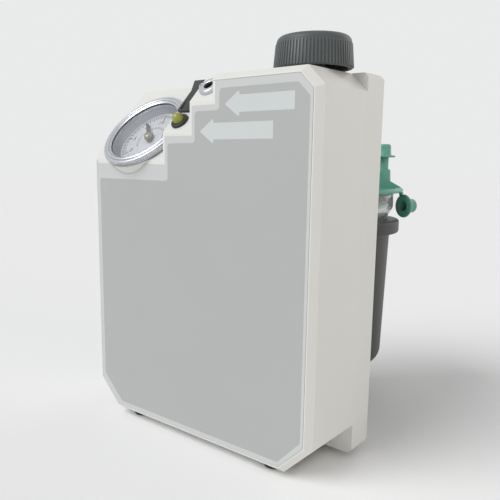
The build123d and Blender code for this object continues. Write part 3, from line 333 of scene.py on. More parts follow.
case_white = moulded("case_white", rgb(231, 231, 228), rgb(223, 223, 219), 0.42, 0.5, 0.03)
label_pale = moulded("label_pale", rgb(204, 206, 206), rgb(198, 201, 201), 0.5, 0.6, 0.01, 0.05, 0.3)
label_grey = moulded("label_grey", rgb(180, 182, 181), rgb(174, 177, 176), 0.5, 0.6, 0.01, 0.05, 0.3)
arrow_pale = moulded("arrow_pale", rgb(206, 211, 211), rgb(201, 206, 206), 0.5, 0.6, 0.01, 0.05, 0.3)
black_moulded = moulded("black_moulded", rgb(44, 46, 48), rgb(30, 32, 34), 0.42, 0.4, 0.02)
knob_dark = moulded("knob_dark", rgb(84, 89, 90), rgb(72, 77, 78), 0.40, 0.5, 0.02, 0.35)
cup_dark = moulded("cup_dark", rgb(70, 72, 71), rgb(58, 60, 59), 0.42, 0.6, 0.03, 0.3)
teal = moulded("teal", rgb(104, 170, 152), rgb(84, 152, 134), 0.34, 0.7, 0.015, 0.3, 0.5)
battery_black = moulded("battery_black", rgb(52, 53, 56), rgb(40, 41, 44), 0.5, 0.8, 0.04)
float_white = moulded("float_white", rgb(232, 232, 229), rgb(222, 222, 219), 0.4)
print("plastics", len(bpy.data.materials))

# %% [markdown]
# ## Metals, rubber, board and clear pieces
# Bright metal lives from fine streaks in its roughness. Rubber is dull with a dusty bloom.
# Clear pieces are glass shaders with a faint tint, thin walls and a slight haze.


# %% Metals and rubber
def metal(name, colour, dark, roughness, streak=(1, 1, 1), streak_mm=0.5):
    """Machined or plated metal with fine streaks and dull patches."""
    finish = Finish(name)
    streaks = finish.noise(streak_mm, 5.0, streak)
    patch = finish.noise(9, 3.0)
    finish.surface(Base_Color=finish.mix(patch * 0.6, colour, dark), Metallic=1.0,
                   Roughness=roughness + streaks * 0.14 + patch * 0.06, Normal=finish.bump(streaks, 0.006))
    return finish.material


def rubbery(name, colour, dust):
    """Matt rubber with a pale bloom in patches."""
    finish = Finish(name)
    bloom = finish.noise(3.5, 5.0)
    finish.surface(Base_Color=finish.mix(bloom * bloom * 0.5, colour, dust), Roughness=0.7 + bloom * 0.15,
                   Normal=finish.bump(finish.noise(0.6, 3.0), 0.04), Specular_IOR_Level=0.25)
    return finish.material


bezel_bright = metal("bezel_bright", rgb(206, 208, 212), rgb(176, 179, 184), 0.18)
bezel_inner = metal("bezel_inner", rgb(186, 190, 198), rgb(158, 162, 170), 0.34)
steel_plain = metal("steel_plain", rgb(176, 177, 180), rgb(140, 142, 146), 0.3, (1, 1, 6))
motor_can = metal("motor_can", rgb(150, 151, 154), rgb(120, 122, 126), 0.35, (6, 1, 1))
cast_grey = metal("cast_grey", rgb(150, 152, 154), rgb(120, 123, 127), 0.48)
brass_warm = metal("brass_warm", rgb(168, 164, 140), rgb(128, 125, 104), 0.3)
needle_grey = metal("needle_grey", rgb(104, 107, 108), rgb(84, 86, 88), 0.42)
rubber_black = rubbery("rubber_black", rgb(40, 41, 42), rgb(86, 86, 84))
print("metals and rubber", len(bpy.data.materials))


# %% Clear pieces, lamp, dial paint and board
def clear(name, tint, roughness, haze, transmission=1.0):
    """Clear moulded wall: transmission with a faint tint and a soft haze."""
    finish = Finish(name)
    cloud = finish.noise(14, 3.0)
    finish.surface(Base_Color=finish.mix(cloud * haze, tint, (0.86, 0.88, 0.87, 1)),
                   Roughness=roughness + cloud * 0.05, Transmission_Weight=transmission, IOR=1.45)
    return finish.material


def lamp_lens_finish():
    """Dyed clear lens: green-yellow, brighter where it is thin."""
    finish = Finish("lamp_yellow")
    depth = finish.noise(2.4, 2.0)
    finish.surface(Base_Color=finish.mix(depth, rgb(196, 196, 74), rgb(132, 134, 34)),
                   Roughness=0.16 + depth * 0.08, Transmission_Weight=0.25, IOR=1.49, Coat_Weight=0.6)
    return finish.material


def dial_finish():
    """Silver-white painted dial with a fine brushed grain."""
    finish = Finish("dial_white")
    grain = finish.noise(0.5, 4.0, (8, 1, 1))
    finish.surface(Base_Color=finish.mix(grain, rgb(236, 238, 242), rgb(222, 225, 231)),
                   Roughness=0.42 + grain * 0.1, Normal=finish.bump(grain, 0.004))
    return finish.material


def board_finish():
    """Solder mask with the faint copper pattern under it."""
    finish = Finish("board_green")
    tracks = finish.node("ShaderNodeTexBrick", {}, {
        "Vector": finish.place, "Scale": 160.0, "Color1": (1, 1, 1, 1), "Color2": (0.6, 0.6, 0.6, 1),
        "Mortar": (0, 0, 0, 1)})
    finish.surface(Base_Color=finish.mix(tracks, rgb(18, 92, 52), rgb(34, 122, 72)),
                   Roughness=0.32 + tracks * 0.08, Normal=finish.bump(tracks, 0.03))
    return finish.material


gauge_glass = clear("gauge_glass", (0.97, 0.98, 0.985, 1), 0.01, 0.1)
jar_clear = clear("jar_clear", (0.93, 0.95, 0.94, 1), 0.08, 0.35, 0.85)
lamp_yellow = lamp_lens_finish()
dial_white = dial_finish()
board_green = board_finish()
ink = moulded("ink", rgb(40, 42, 50), rgb(30, 32, 40), 0.55, 0.6, 0.005, 0.0, 0.2)
print("finishes", len(bpy.data.materials))

# %% [markdown]
# ## Making meshes
# Round pieces are turned: a profile of (radius, height) points is spun in code, which closes the
# poles and keeps the faces outward. Moulded pieces start from a merged copy of the frame's mesh,
# whose sharp edges get a real rounded edge from a Bevel modifier, because on a moulding no edge
# is sharp, and its highlight is what makes it look real.


# %% Mesh helpers
def settle(name, mesh, finish, bevel_mm=0.0, segments=3, angle=32.0):
    """Object from a mesh, with rounded edges and smooth shading, and no modifier left."""
    obj = new_object(name, mesh)
    if bevel_mm:
        edge = obj.modifiers.new("edge", "BEVEL")
        edge.width = bevel_mm * MM
        edge.segments = segments
        edge.limit_method = "ANGLE"
        edge.angle_limit = radians(angle)
        edge.use_clamp_overlap = True
        done = baked(obj)
        obj.modifiers.clear()
        obj.data = done
    obj.data.materials.clear()
    obj.data.materials.append(finish)
    obj.data.shade_smooth()
    obj.data.set_sharp_from_angle(angle=radians(angle + 10))
    return obj


def soften(obj):
    """Weighted corner normals, so that large flat faces stay flat beside rounded edges."""
    weight = obj.modifiers.new("weight", "WEIGHTED_NORMAL")
    weight.keep_sharp = True
    weight.weight = 100
    done = baked(obj)
    obj.modifiers.clear()
    obj.data = done
    return obj


def dressed(node, finish, bevel_mm):
    """A frame node with rounded edges: a merged copy that stands for it."""
    source = frame["nodes"][node]
    work = bmesh.new()
    work.from_mesh(source.data)
    bmesh.ops.remove_doubles(work, verts=work.verts, dist=0.001 * MM)
    bmesh.ops.dissolve_limit(work, angle_limit=radians(0.6), verts=work.verts, edges=work.edges)
    mesh = bpy.data.meshes.new(f"{node}_skin")
    work.to_mesh(mesh)
    work.free()
    obj = soften(settle(f"{node}_skin", mesh, finish, bevel_mm))
    return finish_piece(obj, node)


bodies = frame["record"]["behaviour"]["bodies"]
body_of_node = {node: body for body, nodes in bodies.items() for node in nodes}


def finish_piece(obj, node, replace=True):
    """Let a piece ride with its node's body and, when it replaces the node, stand for it."""
    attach(obj, body_of_node[node])
    if replace:
        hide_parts(node)
    return obj


def circle(radius, count, y=0.0):
    """Points round a circle about (0, y)."""
    return [(radius * cos(2 * pi * i / count), y + radius * sin(2 * pi * i / count))
            for i in range(count)]


def turned(name, profile, place, finish, steps=96, bevel_mm=0.2, angle=32.0):
    """Spin a profile of (radius, height) millimetres about z; radius 0 closes a pole."""
    work = bmesh.new()
    rings = []
    for radius, height in profile:
        if radius < 1e-6:
            rings.append([work.verts.new((0, 0, height))])
        else:
            rings.append([work.verts.new((x, y, height)) for x, y in circle(radius, steps)])
    closed = len(rings[0]) > 1 and len(rings[-1]) > 1
    pairs = list(zip(rings, rings[1:])) + ([(rings[-1], rings[0])] if closed else [])
    for first, second in pairs:
        for i in range(steps):
            j = (i + 1) % steps
            picks = ((first, i), (first, j), (second, j), (second, i))
            corners = [ring[k % len(ring)] for ring, k in picks]
            unique = list(dict.fromkeys(corners))
            if len(unique) > 2:
                work.faces.new(unique)
    bmesh.ops.recalc_face_normals(work, faces=work.faces)
    mesh = bpy.data.meshes.new(name)
    work.to_mesh(mesh)
    work.free()
    mesh.transform(place)
    return settle(name, mesh, finish, bevel_mm, 2, angle)


def arc(centre, radius, start, end, count=6):
    """Points of a round stretch of a profile, angles in degrees."""
    return [(centre[0] + radius * cos(radians(start + (end - start) * i / count)),
             centre[1] + radius * sin(radians(start + (end - start) * i / count))) for i in range(count + 1)]


def plate(name, loops, place, thickness, finish, bevel_mm=0.0):
    """Flat plate from closed loops of (x, y) millimetres, thickened along z."""
    curve = bpy.data.curves.new(name, "CURVE")
    curve.dimensions = "2D"
    curve.fill_mode = "BOTH"
    curve.extrude = thickness / 2
    for loop in loops:
        spline = curve.splines.new("POLY")
        spline.points.add(len(loop) - 1)
        for point, (x, y) in zip(spline.points, loop):
            point.co = (x, y, thickness / 2, 1)
        spline.use_cyclic_u = True
    holder = new_object(name, curve)
    mesh = baked(holder)
    bpy.data.objects.remove(holder)
    mesh.name = name
    mesh.transform(place)
    return settle(name, mesh, finish, bevel_mm)


def rounded(points, radius, steps=5):
    """A closed outline whose corners are rounded; radius is one number or one for each corner."""
    out = []
    count = len(points)
    radii = [radius] * count if isinstance(radius, (int, float)) else radius
    for i, size in enumerate(radii):
        here = Vector(points[i])
        back = (Vector(points[i - 1]) - here).normalized()
        ahead = (Vector(points[(i + 1) % count]) - here).normalized()
        if size < 0.01:
            out.append(tuple(here))
            continue
        half = back.angle(ahead) / 2
        centre = here + (back + ahead).normalized() * (size / sin(half))
        start, end = [here + side * (size / tan(half)) - centre for side in (back, ahead)]
        first = atan2(start.y, start.x)
        sweep = (atan2(end.y, end.x) - first + pi) % (2 * pi) - pi
        out += arc(centre, size, degrees(first), degrees(first + sweep), steps)
    return out


print("helpers ready")

# %% [markdown]
# ## Trees that repeat a shape
# Knurls, ribs, dial ticks, screws and feet are one shape many times. One tree sets copies on a
# circle or an arc of it, and another sets copies on given points. Both realize their copies and
# set the material, so that what they leave is plain mesh.


# %% Geometry Nodes
def new_tree(name, sockets):
    """Tree with a geometry output and named inputs."""
    tree = bpy.data.node_groups.new(name, "GeometryNodeTree")
    tree.interface.new_socket("Geometry", in_out="INPUT", socket_type="NodeSocketGeometry")
    ids = {}
    for label, kind in sockets:
        ids[label] = tree.interface.new_socket(label, in_out="INPUT", socket_type=kind).identifier
    tree.interface.new_socket("Geometry", in_out="OUTPUT", socket_type="NodeSocketGeometry")
    return tree, ids


def tree_node(tree, kind, inputs=(), **settings):
    """Add a node to a tree, with its settings and the values or links of its sockets."""
    made = tree.nodes.new(kind)
    for name, value in settings.items():
        setattr(made, name, value)
    for key, value in dict(inputs).items():
        if isinstance(value, bpy.types.NodeSocket):
            tree.links.new(value, made.inputs[key])
        else:
            made.inputs[key].default_value = value
    return made


def close_tree(tree, instances, material):
    """Realize the copies, give them their material and send them out."""
    real = tree_node(tree, "GeometryNodeRealizeInstances", {0: instances})
    painted = tree_node(tree, "GeometryNodeSetMaterial", {"Geometry": real.outputs[0], "Material": material})
    end = tree.nodes.new("NodeGroupOutput")
    tree.links.new(painted.outputs[0], end.inputs[0])


def ring_tree():
    """Copies of a stamp on an arc about z, each turned to face outward."""
    tree, ids = new_tree("set_on_ring", (("Stamp", "NodeSocketObject"), ("Count", "NodeSocketInt"),
                                         ("Radius", "NodeSocketFloat"), ("Start", "NodeSocketFloat"),
                                         ("Step", "NodeSocketFloat"), ("Material", "NodeSocketMaterial")))
    start = tree.nodes.new("NodeGroupInput")
    index = tree_node(tree, "GeometryNodeInputIndex")
    turn = tree_node(tree, "ShaderNodeMath",
                     {0: index.outputs[0], 1: start.outputs["Step"], 2: start.outputs["Start"]},
                     operation="MULTIPLY_ADD")
    east = tree_node(tree, "ShaderNodeMath", {0: turn.outputs[0]}, operation="COSINE")
    north = tree_node(tree, "ShaderNodeMath", {0: turn.outputs[0]}, operation="SINE")
    spot = tree_node(tree, "ShaderNodeCombineXYZ", {"X": east.outputs[0], "Y": north.outputs[0]})
    reach = tree_node(tree, "ShaderNodeVectorMath",
                      {0: spot.outputs[0], "Scale": start.outputs["Radius"]}, operation="SCALE")
    facing = tree_node(tree, "ShaderNodeCombineXYZ", {"Z": turn.outputs[0]})
    points = tree_node(tree, "GeometryNodePoints",
                       {"Count": start.outputs["Count"], "Position": reach.outputs[0]})
    stamp = tree_node(tree, "GeometryNodeObjectInfo", {"Object": start.outputs["Stamp"]})
    copies = tree_node(tree, "GeometryNodeInstanceOnPoints",
                       {"Points": points.outputs[0], "Instance": stamp.outputs["Geometry"],
                        "Rotation": facing.outputs[0]})
    close_tree(tree, copies.outputs[0], start.outputs["Material"])
    return tree, ids


def point_tree():
    """Copies of a stamp on the vertices of a mesh, all turned alike."""
    tree, ids = new_tree("set_on_points", (("Stamp", "NodeSocketObject"), ("Material", "NodeSocketMaterial")))
    start = tree.nodes.new("NodeGroupInput")
    stamp = tree_node(tree, "GeometryNodeObjectInfo", {"Object": start.outputs["Stamp"]})
    copies = tree_node(tree, "GeometryNodeInstanceOnPoints",
                       {"Points": start.outputs["Geometry"], "Instance": stamp.outputs["Geometry"]})
    close_tree(tree, copies.outputs[0], start.outputs["Material"])
    return tree, ids


RING, RING_IDS = ring_tree()
SPOTS, SPOT_IDS = point_tree()


def grown(name, base, tree, ids, values, place):
    """Run a tree on a mesh, keep the result as a plain mesh and put it in place."""
    holder = new_object(name, base)
    run = holder.modifiers.new("tree", "NODES")
    run.node_group = tree
    for label, value in values.items():
        run[ids[label]] = value
    mesh = baked(holder)
    bpy.data.objects.remove(holder)
    bpy.data.objects.remove(values["Stamp"])
    mesh.transform(place)
    mesh.name = name
    return settle(name, mesh, values["Material"])


def on_ring(name, stamp, count, radius, place, finish, start=0.0, step=None):
    """Copies of a stamp, drawn at the origin with its outside along x, on a ring."""
    values = {"Stamp": stamp, "Count": count, "Radius": radius, "Start": radians(start),
              "Step": radians(step) if step else 2 * pi / count, "Material": finish}
    return grown(name, bpy.data.meshes.new(name), RING, RING_IDS, values, place)


def on_points(name, stamp, points, place, finish):
    """Copies of a stamp on a list of points in millimetres."""
    base = bpy.data.meshes.new(name)
    base.from_pydata([tuple(p) for p in points], [], [])
    return grown(name, base, SPOTS, SPOT_IDS, {"Stamp": stamp, "Material": finish}, place)


def bar_stamp(x0, x1, half, z0, z1, bevel_mm=0.0):
    """Small bar along x, for ticks, knurls and ribs; sizes in millimetres, left unscaled."""
    work = bmesh.new()
    bmesh.ops.create_cube(work, size=1.0)
    for vert in work.verts:
        x, y, z = vert.co
        vert.co = ((x0 + x1) / 2 + x * (x1 - x0), y * 2 * half, (z0 + z1) / 2 + z * (z1 - z0))
    if bevel_mm:
        bmesh.ops.bevel(work, geom=work.edges[:], offset=bevel_mm, segments=2, affect="EDGES", profile=0.5)
    mesh = bpy.data.meshes.new("stamp")
    work.to_mesh(mesh)
    work.free()
    return new_object("stamp", mesh)


def joined(name, pieces):
    """One object from several."""
    work = bmesh.new()
    for piece in pieces:
        work.from_mesh(piece.data)
    mesh = bpy.data.meshes.new(name)
    materials = []
    for piece in pieces:
        if piece.data.materials[0] not in materials:
            materials.append(piece.data.materials[0])
    work.to_mesh(mesh)
    work.free()
    for material in materials:
        mesh.materials.append(material)
    for piece in pieces:
        bpy.data.objects.remove(piece)
    obj = new_object(name, mesh)
    mesh.shade_smooth()
    mesh.set_sharp_from_angle(angle=radians(42))
    return obj


print("trees", RING.name, SPOTS.name)

# %% [markdown]
# ## The case
# Two mouldings meet in a fine line round the sides. The front one carries the bevel round the
# label, the terraces and the round boss of the gauge. Both come from the frame, with their edges
# rounded as a moulding tool would leave them.

# %% Case mouldings
front_skin = dressed("front_shell", case_white, 0.7)
rear_skin = dressed("rear_shell", case_white, 0.6)
print("case faces", len(front_skin.data.polygons), len(rear_skin.data.polygons))

# %% [markdown]
# ## The label
# A pale film covers the whole front, and a darker grey panel is printed on it, which follows the
# steps of the terraces at an even border. Two pale arrows point at the lamp and at the socket.
# They are built as very thin plates, so that their edges stay crisp at any distance.

# %% Label panel and arrows
PANEL = [(26.0, 7.6), (168.0, 7.6), (183.6, 24.6), (183.6, 221.4), (176.0, 229.0), (120.6, 229.0),
         (120.6, 216.4), (100.6, 216.4), (100.6, 197.3), (76.6, 197.3), (76.6, 173.2), (7.6, 173.2),
         (7.6, 25.4)]
PANEL_ROUNDS = [1.5, 1.5, 1.5, 1.5, 1.5, 2.5, 2.5, 2.5, 2.5, 2.5, 2.5, 2.0, 1.5]
PRINT_LIFT = 0.03
# Drawn in x and z of the case front, with the plate's thickness towards the user
front_at = case_at @ Matrix(((1, 0, 0, 0), (0, 0, -1, 0), (0, 1, 0, 0), (0, 0, 0, 1)))


def arrow(tip_x, mid_z, tail_x, half, head, head_half):
    """Outline of an arrow that points left."""
    head_x = tip_x + head
    points = [(tip_x, mid_z), (head_x, mid_z - head_half), (head_x, mid_z - half), (tail_x, mid_z - half),
              (tail_x, mid_z + half), (head_x, mid_z + half), (head_x, mid_z + head_half)]
    return rounded(points, [0.5, 0.6, 0.4, 0.3, 0.3, 0.4, 0.6], 3)


film = frame["nodes"]["front_label"]
film.data.materials.clear()
film.data.materials.append(label_pale)
panel = plate("label_panel", [rounded(PANEL, PANEL_ROUNDS)], front_at, PRINT_LIFT, label_grey)
finish_piece(panel, "front_label", replace=False)
ARROW_HALF, ARROW_HEAD, ARROW_HEAD_HALF = 4.9, 11.0, 7.7
arrow_at = front_at @ Matrix.Translation((0, 0, PRINT_LIFT))
# Name, tip x, middle z and tail x
ARROWS = (("arrow_lamp", 105.0, 204.2, 160.0), ("arrow_socket", 124.8, 219.6, 174.0))
arrows = joined("label_arrows", [
    plate(name, [arrow(tip, mid, tail, ARROW_HALF, ARROW_HEAD, ARROW_HEAD_HALF)], arrow_at,
          PRINT_LIFT, arrow_pale) for name, tip, mid, tail in ARROWS])
finish_piece(arrows, "front_label", replace=False)
print("label panel", len(panel.data.polygons), "faces")

# %% [markdown]
# ## The vacuum gauge
# A deep bezel with a knurled rim holds a flat lens. Under it lies a stepped inner ring, then the
# white dial. Knurls, ticks and figures repeat, so trees and loops make them. The pointer hub is
# a stack of turned steps, because that is what catches the light in the photograph.

# %% Bezel and inner ring
BEZEL_R, BEZEL_TOP, RIM_IN = 33.6, 5.6, 27.4
bezel_profile = ([(31.8, 0.6), (BEZEL_R - 0.7, 0.6), (BEZEL_R - 0.5, 1.0), (BEZEL_R - 0.5, 3.4)]
                 + arc((BEZEL_R - 1.5, 3.9), 1.0, 0, 90)
                 + [(31.3, 4.9), (31.1, 4.6), (30.8, 4.6), (30.6, BEZEL_TOP - 0.3)]
                 + arc((29.6, BEZEL_TOP - 1.0), 1.0, 45, 180)
                 + [(28.3, 4.4), (RIM_IN, 4.0), (RIM_IN, 3.3), (31.8, 3.3)])
bezel = turned("bezel_ring", bezel_profile, gauge_at, bezel_bright, 160, 0.0)
knurl = bar_stamp(-0.9, 0.0, 0.36, 0.75, 3.5, 0.16)
knurling = on_ring("bezel_knurl", knurl, 110, BEZEL_R, gauge_at, bezel_bright)
bezel = joined("bezel", [bezel, knurling])
finish_piece(bezel, "gauge_bezel")
DIAL_Z = -5.6
inner_profile = [(28.0, 1.5), (27.6, 1.5), (27.2, 0.6), (26.9, 0.4), (26.7, -1.4), (26.2, -1.9),
                 (25.9, -4.6), (25.0, DIAL_Z + 0.05), (25.0, DIAL_Z), (28.0, DIAL_Z)]
inner = turned("gauge_inner_ring", inner_profile, gauge_at, bezel_inner, 160, 0.0)
DIAL_R, DIAL_BACK = 27.0, DIAL_Z - 0.8
dial_profile = [(0, DIAL_Z), (2.2, DIAL_Z), (DIAL_R, DIAL_Z), (DIAL_R, DIAL_BACK), (0, DIAL_BACK)]
dial_base = turned("dial_base", dial_profile, gauge_at, dial_white, 128, 0.0)
finish_piece(dial_base, "gauge_dial")
finish_piece(inner, "gauge_dial", replace=False)
glass_profile = [(0, 1.65), (31.2, 1.65), (31.2, 3.2), (0, 3.2)]
glass = turned("gauge_window", glass_profile, gauge_at, gauge_glass, 128, 0.0)
finish_piece(glass, "gauge_lens")
print("bezel faces", len(bezel.data.polygons))


# %% Dial print
ZERO_ANGLE, SWEEP = 225.0, -270.0
FIGURES = ("0", "5", "10", "15", "20", "25", "30")
LIFT = 0.02
TICK_R, INNER_TICK_R = 23.6, 11.6
FIGURE_R, FIGURE_SIZE = 16.2, 5.0


def ticks(name, count, radius, length, half, step):
    """Arc of ticks, counted from zero."""
    stamp = bar_stamp(-length, 0, half, DIAL_Z, DIAL_Z + LIFT)
    return on_ring(name, stamp, count, radius, gauge_at, ink, ZERO_ANGLE, step)


def figure(text, size, x, y):
    """Flat text on the dial, in place."""
    curve = bpy.data.curves.new(f"figure_{text}", "FONT")
    curve.body = text
    curve.size = size
    curve.align_x = "CENTER"
    curve.align_y = "CENTER"
    curve.extrude = LIFT / 2
    curve.offset = 0.06
    holder = new_object(curve.name, curve)
    mesh = baked(holder)
    bpy.data.objects.remove(holder)
    mesh.transform(gauge_at @ Matrix.Translation((x, y, DIAL_Z + LIFT / 2)))
    return settle(f"figure_{text}_{x:.0f}", mesh, ink)


def dial_figures(radius, size, values):
    """Upright figures at even steps of the scale."""
    pieces = []
    for i, text in enumerate(values):
        angle = radians(ZERO_ANGLE + SWEEP * i / (len(values) - 1))
        pieces.append(figure(text, size, radius * cos(angle), radius * sin(angle)))
    return pieces


marks = [ticks("ticks_fine", 61, TICK_R, 2.4, 0.2, SWEEP / 60),
         ticks("ticks_mid", 31, TICK_R, 3.4, 0.28, SWEEP / 30),
         ticks("ticks_main", 7, TICK_R, 4.8, 0.5, SWEEP / 6),
         ticks("ticks_inner", 41, INNER_TICK_R, 1.6, 0.18, SWEEP / 40)]
line_profile = [(23.5, DIAL_Z), (23.7, DIAL_Z), (23.7, DIAL_Z + LIFT), (23.5, DIAL_Z + LIFT)]
scale_line = turned("scale_line", line_profile, gauge_at, ink, 128, 0.0)
marks += [scale_line] + dial_figures(FIGURE_R, FIGURE_SIZE, FIGURES)
dial_print = joined("dial_print", marks)
finish_piece(dial_print, "gauge_dial", replace=False)
print("dial print faces", len(dial_print.data.polygons))

# %% Needle and hub
NEEDLE_ANGLE = 130.0
needle_at = gauge_at @ Matrix.Rotation(radians(NEEDLE_ANGLE), 4, "Z")
NEEDLE_Z = -4.0
blade_outline = [(-6.0, -1.7), (-2.0, -1.5), (15.0, -1.1), (18.5, 0), (15.0, 1.1), (-2.0, 1.5), (-6.0, 1.7)]
blade = plate("needle_blade", [rounded(blade_outline, [0.4, 0.4, 0.3, 0.1, 0.3, 0.4, 0.4], 3)],
              needle_at @ Matrix.Translation((0, 0, NEEDLE_Z)), 0.6, needle_grey, 0.08)
hub_profile = [(radius, NEEDLE_Z + height) for radius, height in (
    (0, -1.2), (0.9, -1.2), (0.9, -0.4), (3.6, -0.4), (3.6, 0.8), (3.0, 1.3), (2.9, 2.0), (2.3, 2.6),
    (1.2, 2.95), (0, 3.05))]
hub = turned("needle_hub", hub_profile, needle_at, brass_warm, 64, 0.1)
arbor_profile = [(0, -12.0), (0.9, -12.0), (0.9, NEEDLE_Z - 0.3), (0, NEEDLE_Z - 0.3)]
arbor = turned("needle_arbor", arbor_profile, needle_at, brass_warm, 32, 0.0)
for piece in (blade, hub):
    finish_piece(piece, "gauge_needle", replace=False)
finish_piece(arbor, "gauge_needle")
print("needle ready")

# %% [markdown]
# ## Lamp, switch and socket
# The lamp lens is a dome in a black collar. The rocker stands with its upper end raised in a rim
# with rounded corners. The socket is a bright ring with a dark bore and a pin in it.

# %% Lamp
LAMP_R, LENS_FOOT, DOME_FOOT = 3.9, -8.6, 3.0
collar_profile = ([(0, -11), (5.0, -11), (5.0, 0.02), (6.2, 0.02), (6.2, 0.7)]
                  + arc((5.0, 0.8), 1.2, 0, 90, 5) + [(4.3, 2.0), (4.0, 1.6), (4.0, -8.7), (0, -8.7)])
collar = turned("lamp_collar", collar_profile, lamp_at, black_moulded, 64, 0.12)
finish_piece(collar, "lamp_holder")
dome_profile = ([(0, LENS_FOOT), (LAMP_R, LENS_FOOT), (LAMP_R, DOME_FOOT)]
                + arc((0, DOME_FOOT), LAMP_R, 0, 90, 10)[1:-1] + [(0, DOME_FOOT + LAMP_R)])
dome = turned("lamp_dome", dome_profile, lamp_at, lamp_yellow, 64, 0.0)
finish_piece(dome, "lamp_lens")

# %% Switch
dressed("switch_body", black_moulded, 0.35)
dressed("switch_rocker", black_moulded, 0.4)


def symbol(name, loops, place):
    """White mark on the rocker."""
    mark = plate(name, loops, place, 0.03, arrow_pale)
    return finish_piece(mark, "switch_rocker", replace=False)


ROCKER_TILT, DISH, MARK_LIFT = radians(12.0), radians(6.87), 2.2
rocker_at = switch_at @ Matrix.Rotation(ROCKER_TILT, 4, "X")
upper_half = rocker_at @ Matrix.Translation((0, 0, MARK_LIFT)) @ Matrix.Rotation(DISH, 4, "X")
lower_half = rocker_at @ Matrix.Translation((0, 0, MARK_LIFT)) @ Matrix.Rotation(-DISH, 4, "X")
symbol("mark_off", [circle(2.1, 32, 7.0), circle(1.5, 32, 7.0)], upper_half)
symbol("mark_on", [[(-0.35, -9.2), (0.35, -9.2), (0.35, -4.9), (-0.35, -4.9)]], lower_half)
print("switch ready")

# %% Socket
ring_profile = [(3.2, 2.2), (4.4, 2.4), (5.9, 2.4), (7.2, 1.2), (7.2, 0.02), (5.5, 0.02), (5.5, -13),
                (3.3, -13), (3.3, 1.6)]
ring = turned("socket_ring", ring_profile, socket_at, bezel_bright, 96, 0.15)
finish_piece(ring, "socket_body")
core_profile = [(3.28, -12.9), (0, -12.9), (0, -10.9), (2.6, -10.9), (2.6, 1.2), (2.9, 1.5), (3.28, 1.5)]
core = turned("socket_core", core_profile, socket_at, black_moulded, 64, 0.0)
finish_piece(core, "socket_body", replace=False)
dressed("socket_nut", steel_plain, 0.25)
print("socket ready")

# %% [markdown]
# ## The control knob
# Ribs run down a slightly tapered wall to a rounded crown. The wall and crown are turned, hollow
# underneath, and the ribs are one stamp set round it by the ring tree.

# %% Knob
KNOB_FOOT = 240.0
KNOB_R, KNOB_TOP_R, KNOB_H = 23.0, 21.9, 19.0
crown = (arc((KNOB_TOP_R - 4.0, KNOB_H - 4.6), 4.0, 4, 84, 8) + [(14.0, KNOB_H - 0.25), (0, KNOB_H - 0.02)])
knob_profile = [(0, 16.2), (18.0, 15.2), (20.2, 0.3), (20.6, 0.0), (KNOB_R - 0.4, 0.0), (KNOB_R, 0.4)] + crown
knob_place = knob_at @ Matrix.Translation((0, 0, KNOB_FOOT))
knob_body = turned("knob_wall", knob_profile, knob_place, knob_dark, 160, 0.0)
work = bmesh.new()
# Inset, height and how far the crest stands out, from foot to top
RIB_SHAPE = ((0.0, 0.6, 0.55), (KNOB_R - KNOB_TOP_R + 0.05, 13.6, 0.55), (2.2, 16.2, -0.1))
RIB_ROOT_HALF, RIB_CREST_HALF, RIB_SINK = 0.75, 0.42, 0.4
rows = []
for inset, height, stand in RIB_SHAPE:
    root, crest = -inset - RIB_SINK, -inset + stand
    rows.append([work.verts.new((x, y, height)) for x, y in (
        (root, -RIB_ROOT_HALF), (crest, -RIB_CREST_HALF), (crest, RIB_CREST_HALF), (root, RIB_ROOT_HALF))])
for low_row, high_row in zip(rows, rows[1:]):
    for i in range(4):
        j = (i + 1) % 4
        work.faces.new((low_row[i], low_row[j], high_row[j], high_row[i]))
work.faces.new(rows[0][::-1])
work.faces.new(rows[-1])
bmesh.ops.recalc_face_normals(work, faces=work.faces)
rib_mesh = bpy.data.meshes.new("rib")
work.to_mesh(rib_mesh)
work.free()
rib = new_object("rib", rib_mesh)
ribs = on_ring("knob_ribs", rib, 72, KNOB_R, knob_place, knob_dark)
tube_profile = [(3.05, 0.5), (7.0, 0.5), (7.0, 15.8), (3.05, 15.8)]
hub_tube = turned("knob_hub", tube_profile, knob_place, knob_dark, 48, 0.2)
knob = joined("knob", [knob_body, ribs, hub_tube])
finish_piece(knob, "vacuum_knob")
print("knob faces", len(knob.data.polygons))

# %% [markdown]
# ## The canister
# The clear jar hangs in a dark cup with a thick ring at its mouth. The teal lid has a thin wide
# rim, a capped port near its right edge and a second cap of the same kind on a tether.

# %% Cup and jar
CUP_TOP, CUP_FOOT = 143.0, 30.0
CUP_LOW_R, CUP_HIGH_R, RING_R = 42.8, 46.0, 52.4


def cup_r(height):
    """Outer radius of the cup's tapered wall."""
    return CUP_LOW_R + (CUP_HIGH_R - CUP_LOW_R) * (height - CUP_FOOT) / (CUP_TOP - CUP_FOOT)


low_r = cup_r(42.0)
cup_profile = ([(5.2, CUP_FOOT), (low_r - 12, CUP_FOOT)] + arc((low_r - 12.2, 42.2), 12.2, -88, -3, 9)
               + [(cup_r(131), 131.0), (cup_r(132) + 1.0, 133.2), (RING_R - 1.6, 133.4)]
               + arc((RING_R - 1.6, 135.0), 1.6, -80, 0, 4) + arc((RING_R - 1.6, 141.4), 1.6, 0, 90, 4)
               + [(43.9, CUP_TOP), (43.7, 142.4), (cup_r(42) - 2.2, 42.0), (low_r - 6.0, 34.4),
                  (low_r - 12.0, 32.2), (5.2, 32.2)])
cup = turned("cup_shell", cup_profile, jar_at, cup_dark, 128, 0.0, 40)
cup_block = dressed("canister_cup", cup_dark, 0.5)
claw_keep = bmesh.new()
claw_keep.from_mesh(cup_block.data)
axis_x, axis_y = jar_at.translation.x, jar_at.translation.y
CLAW_HALF, CLAW_BACK, CLAW_LOW, CLAW_HIGH = 14.2, 41.5, 61, 127


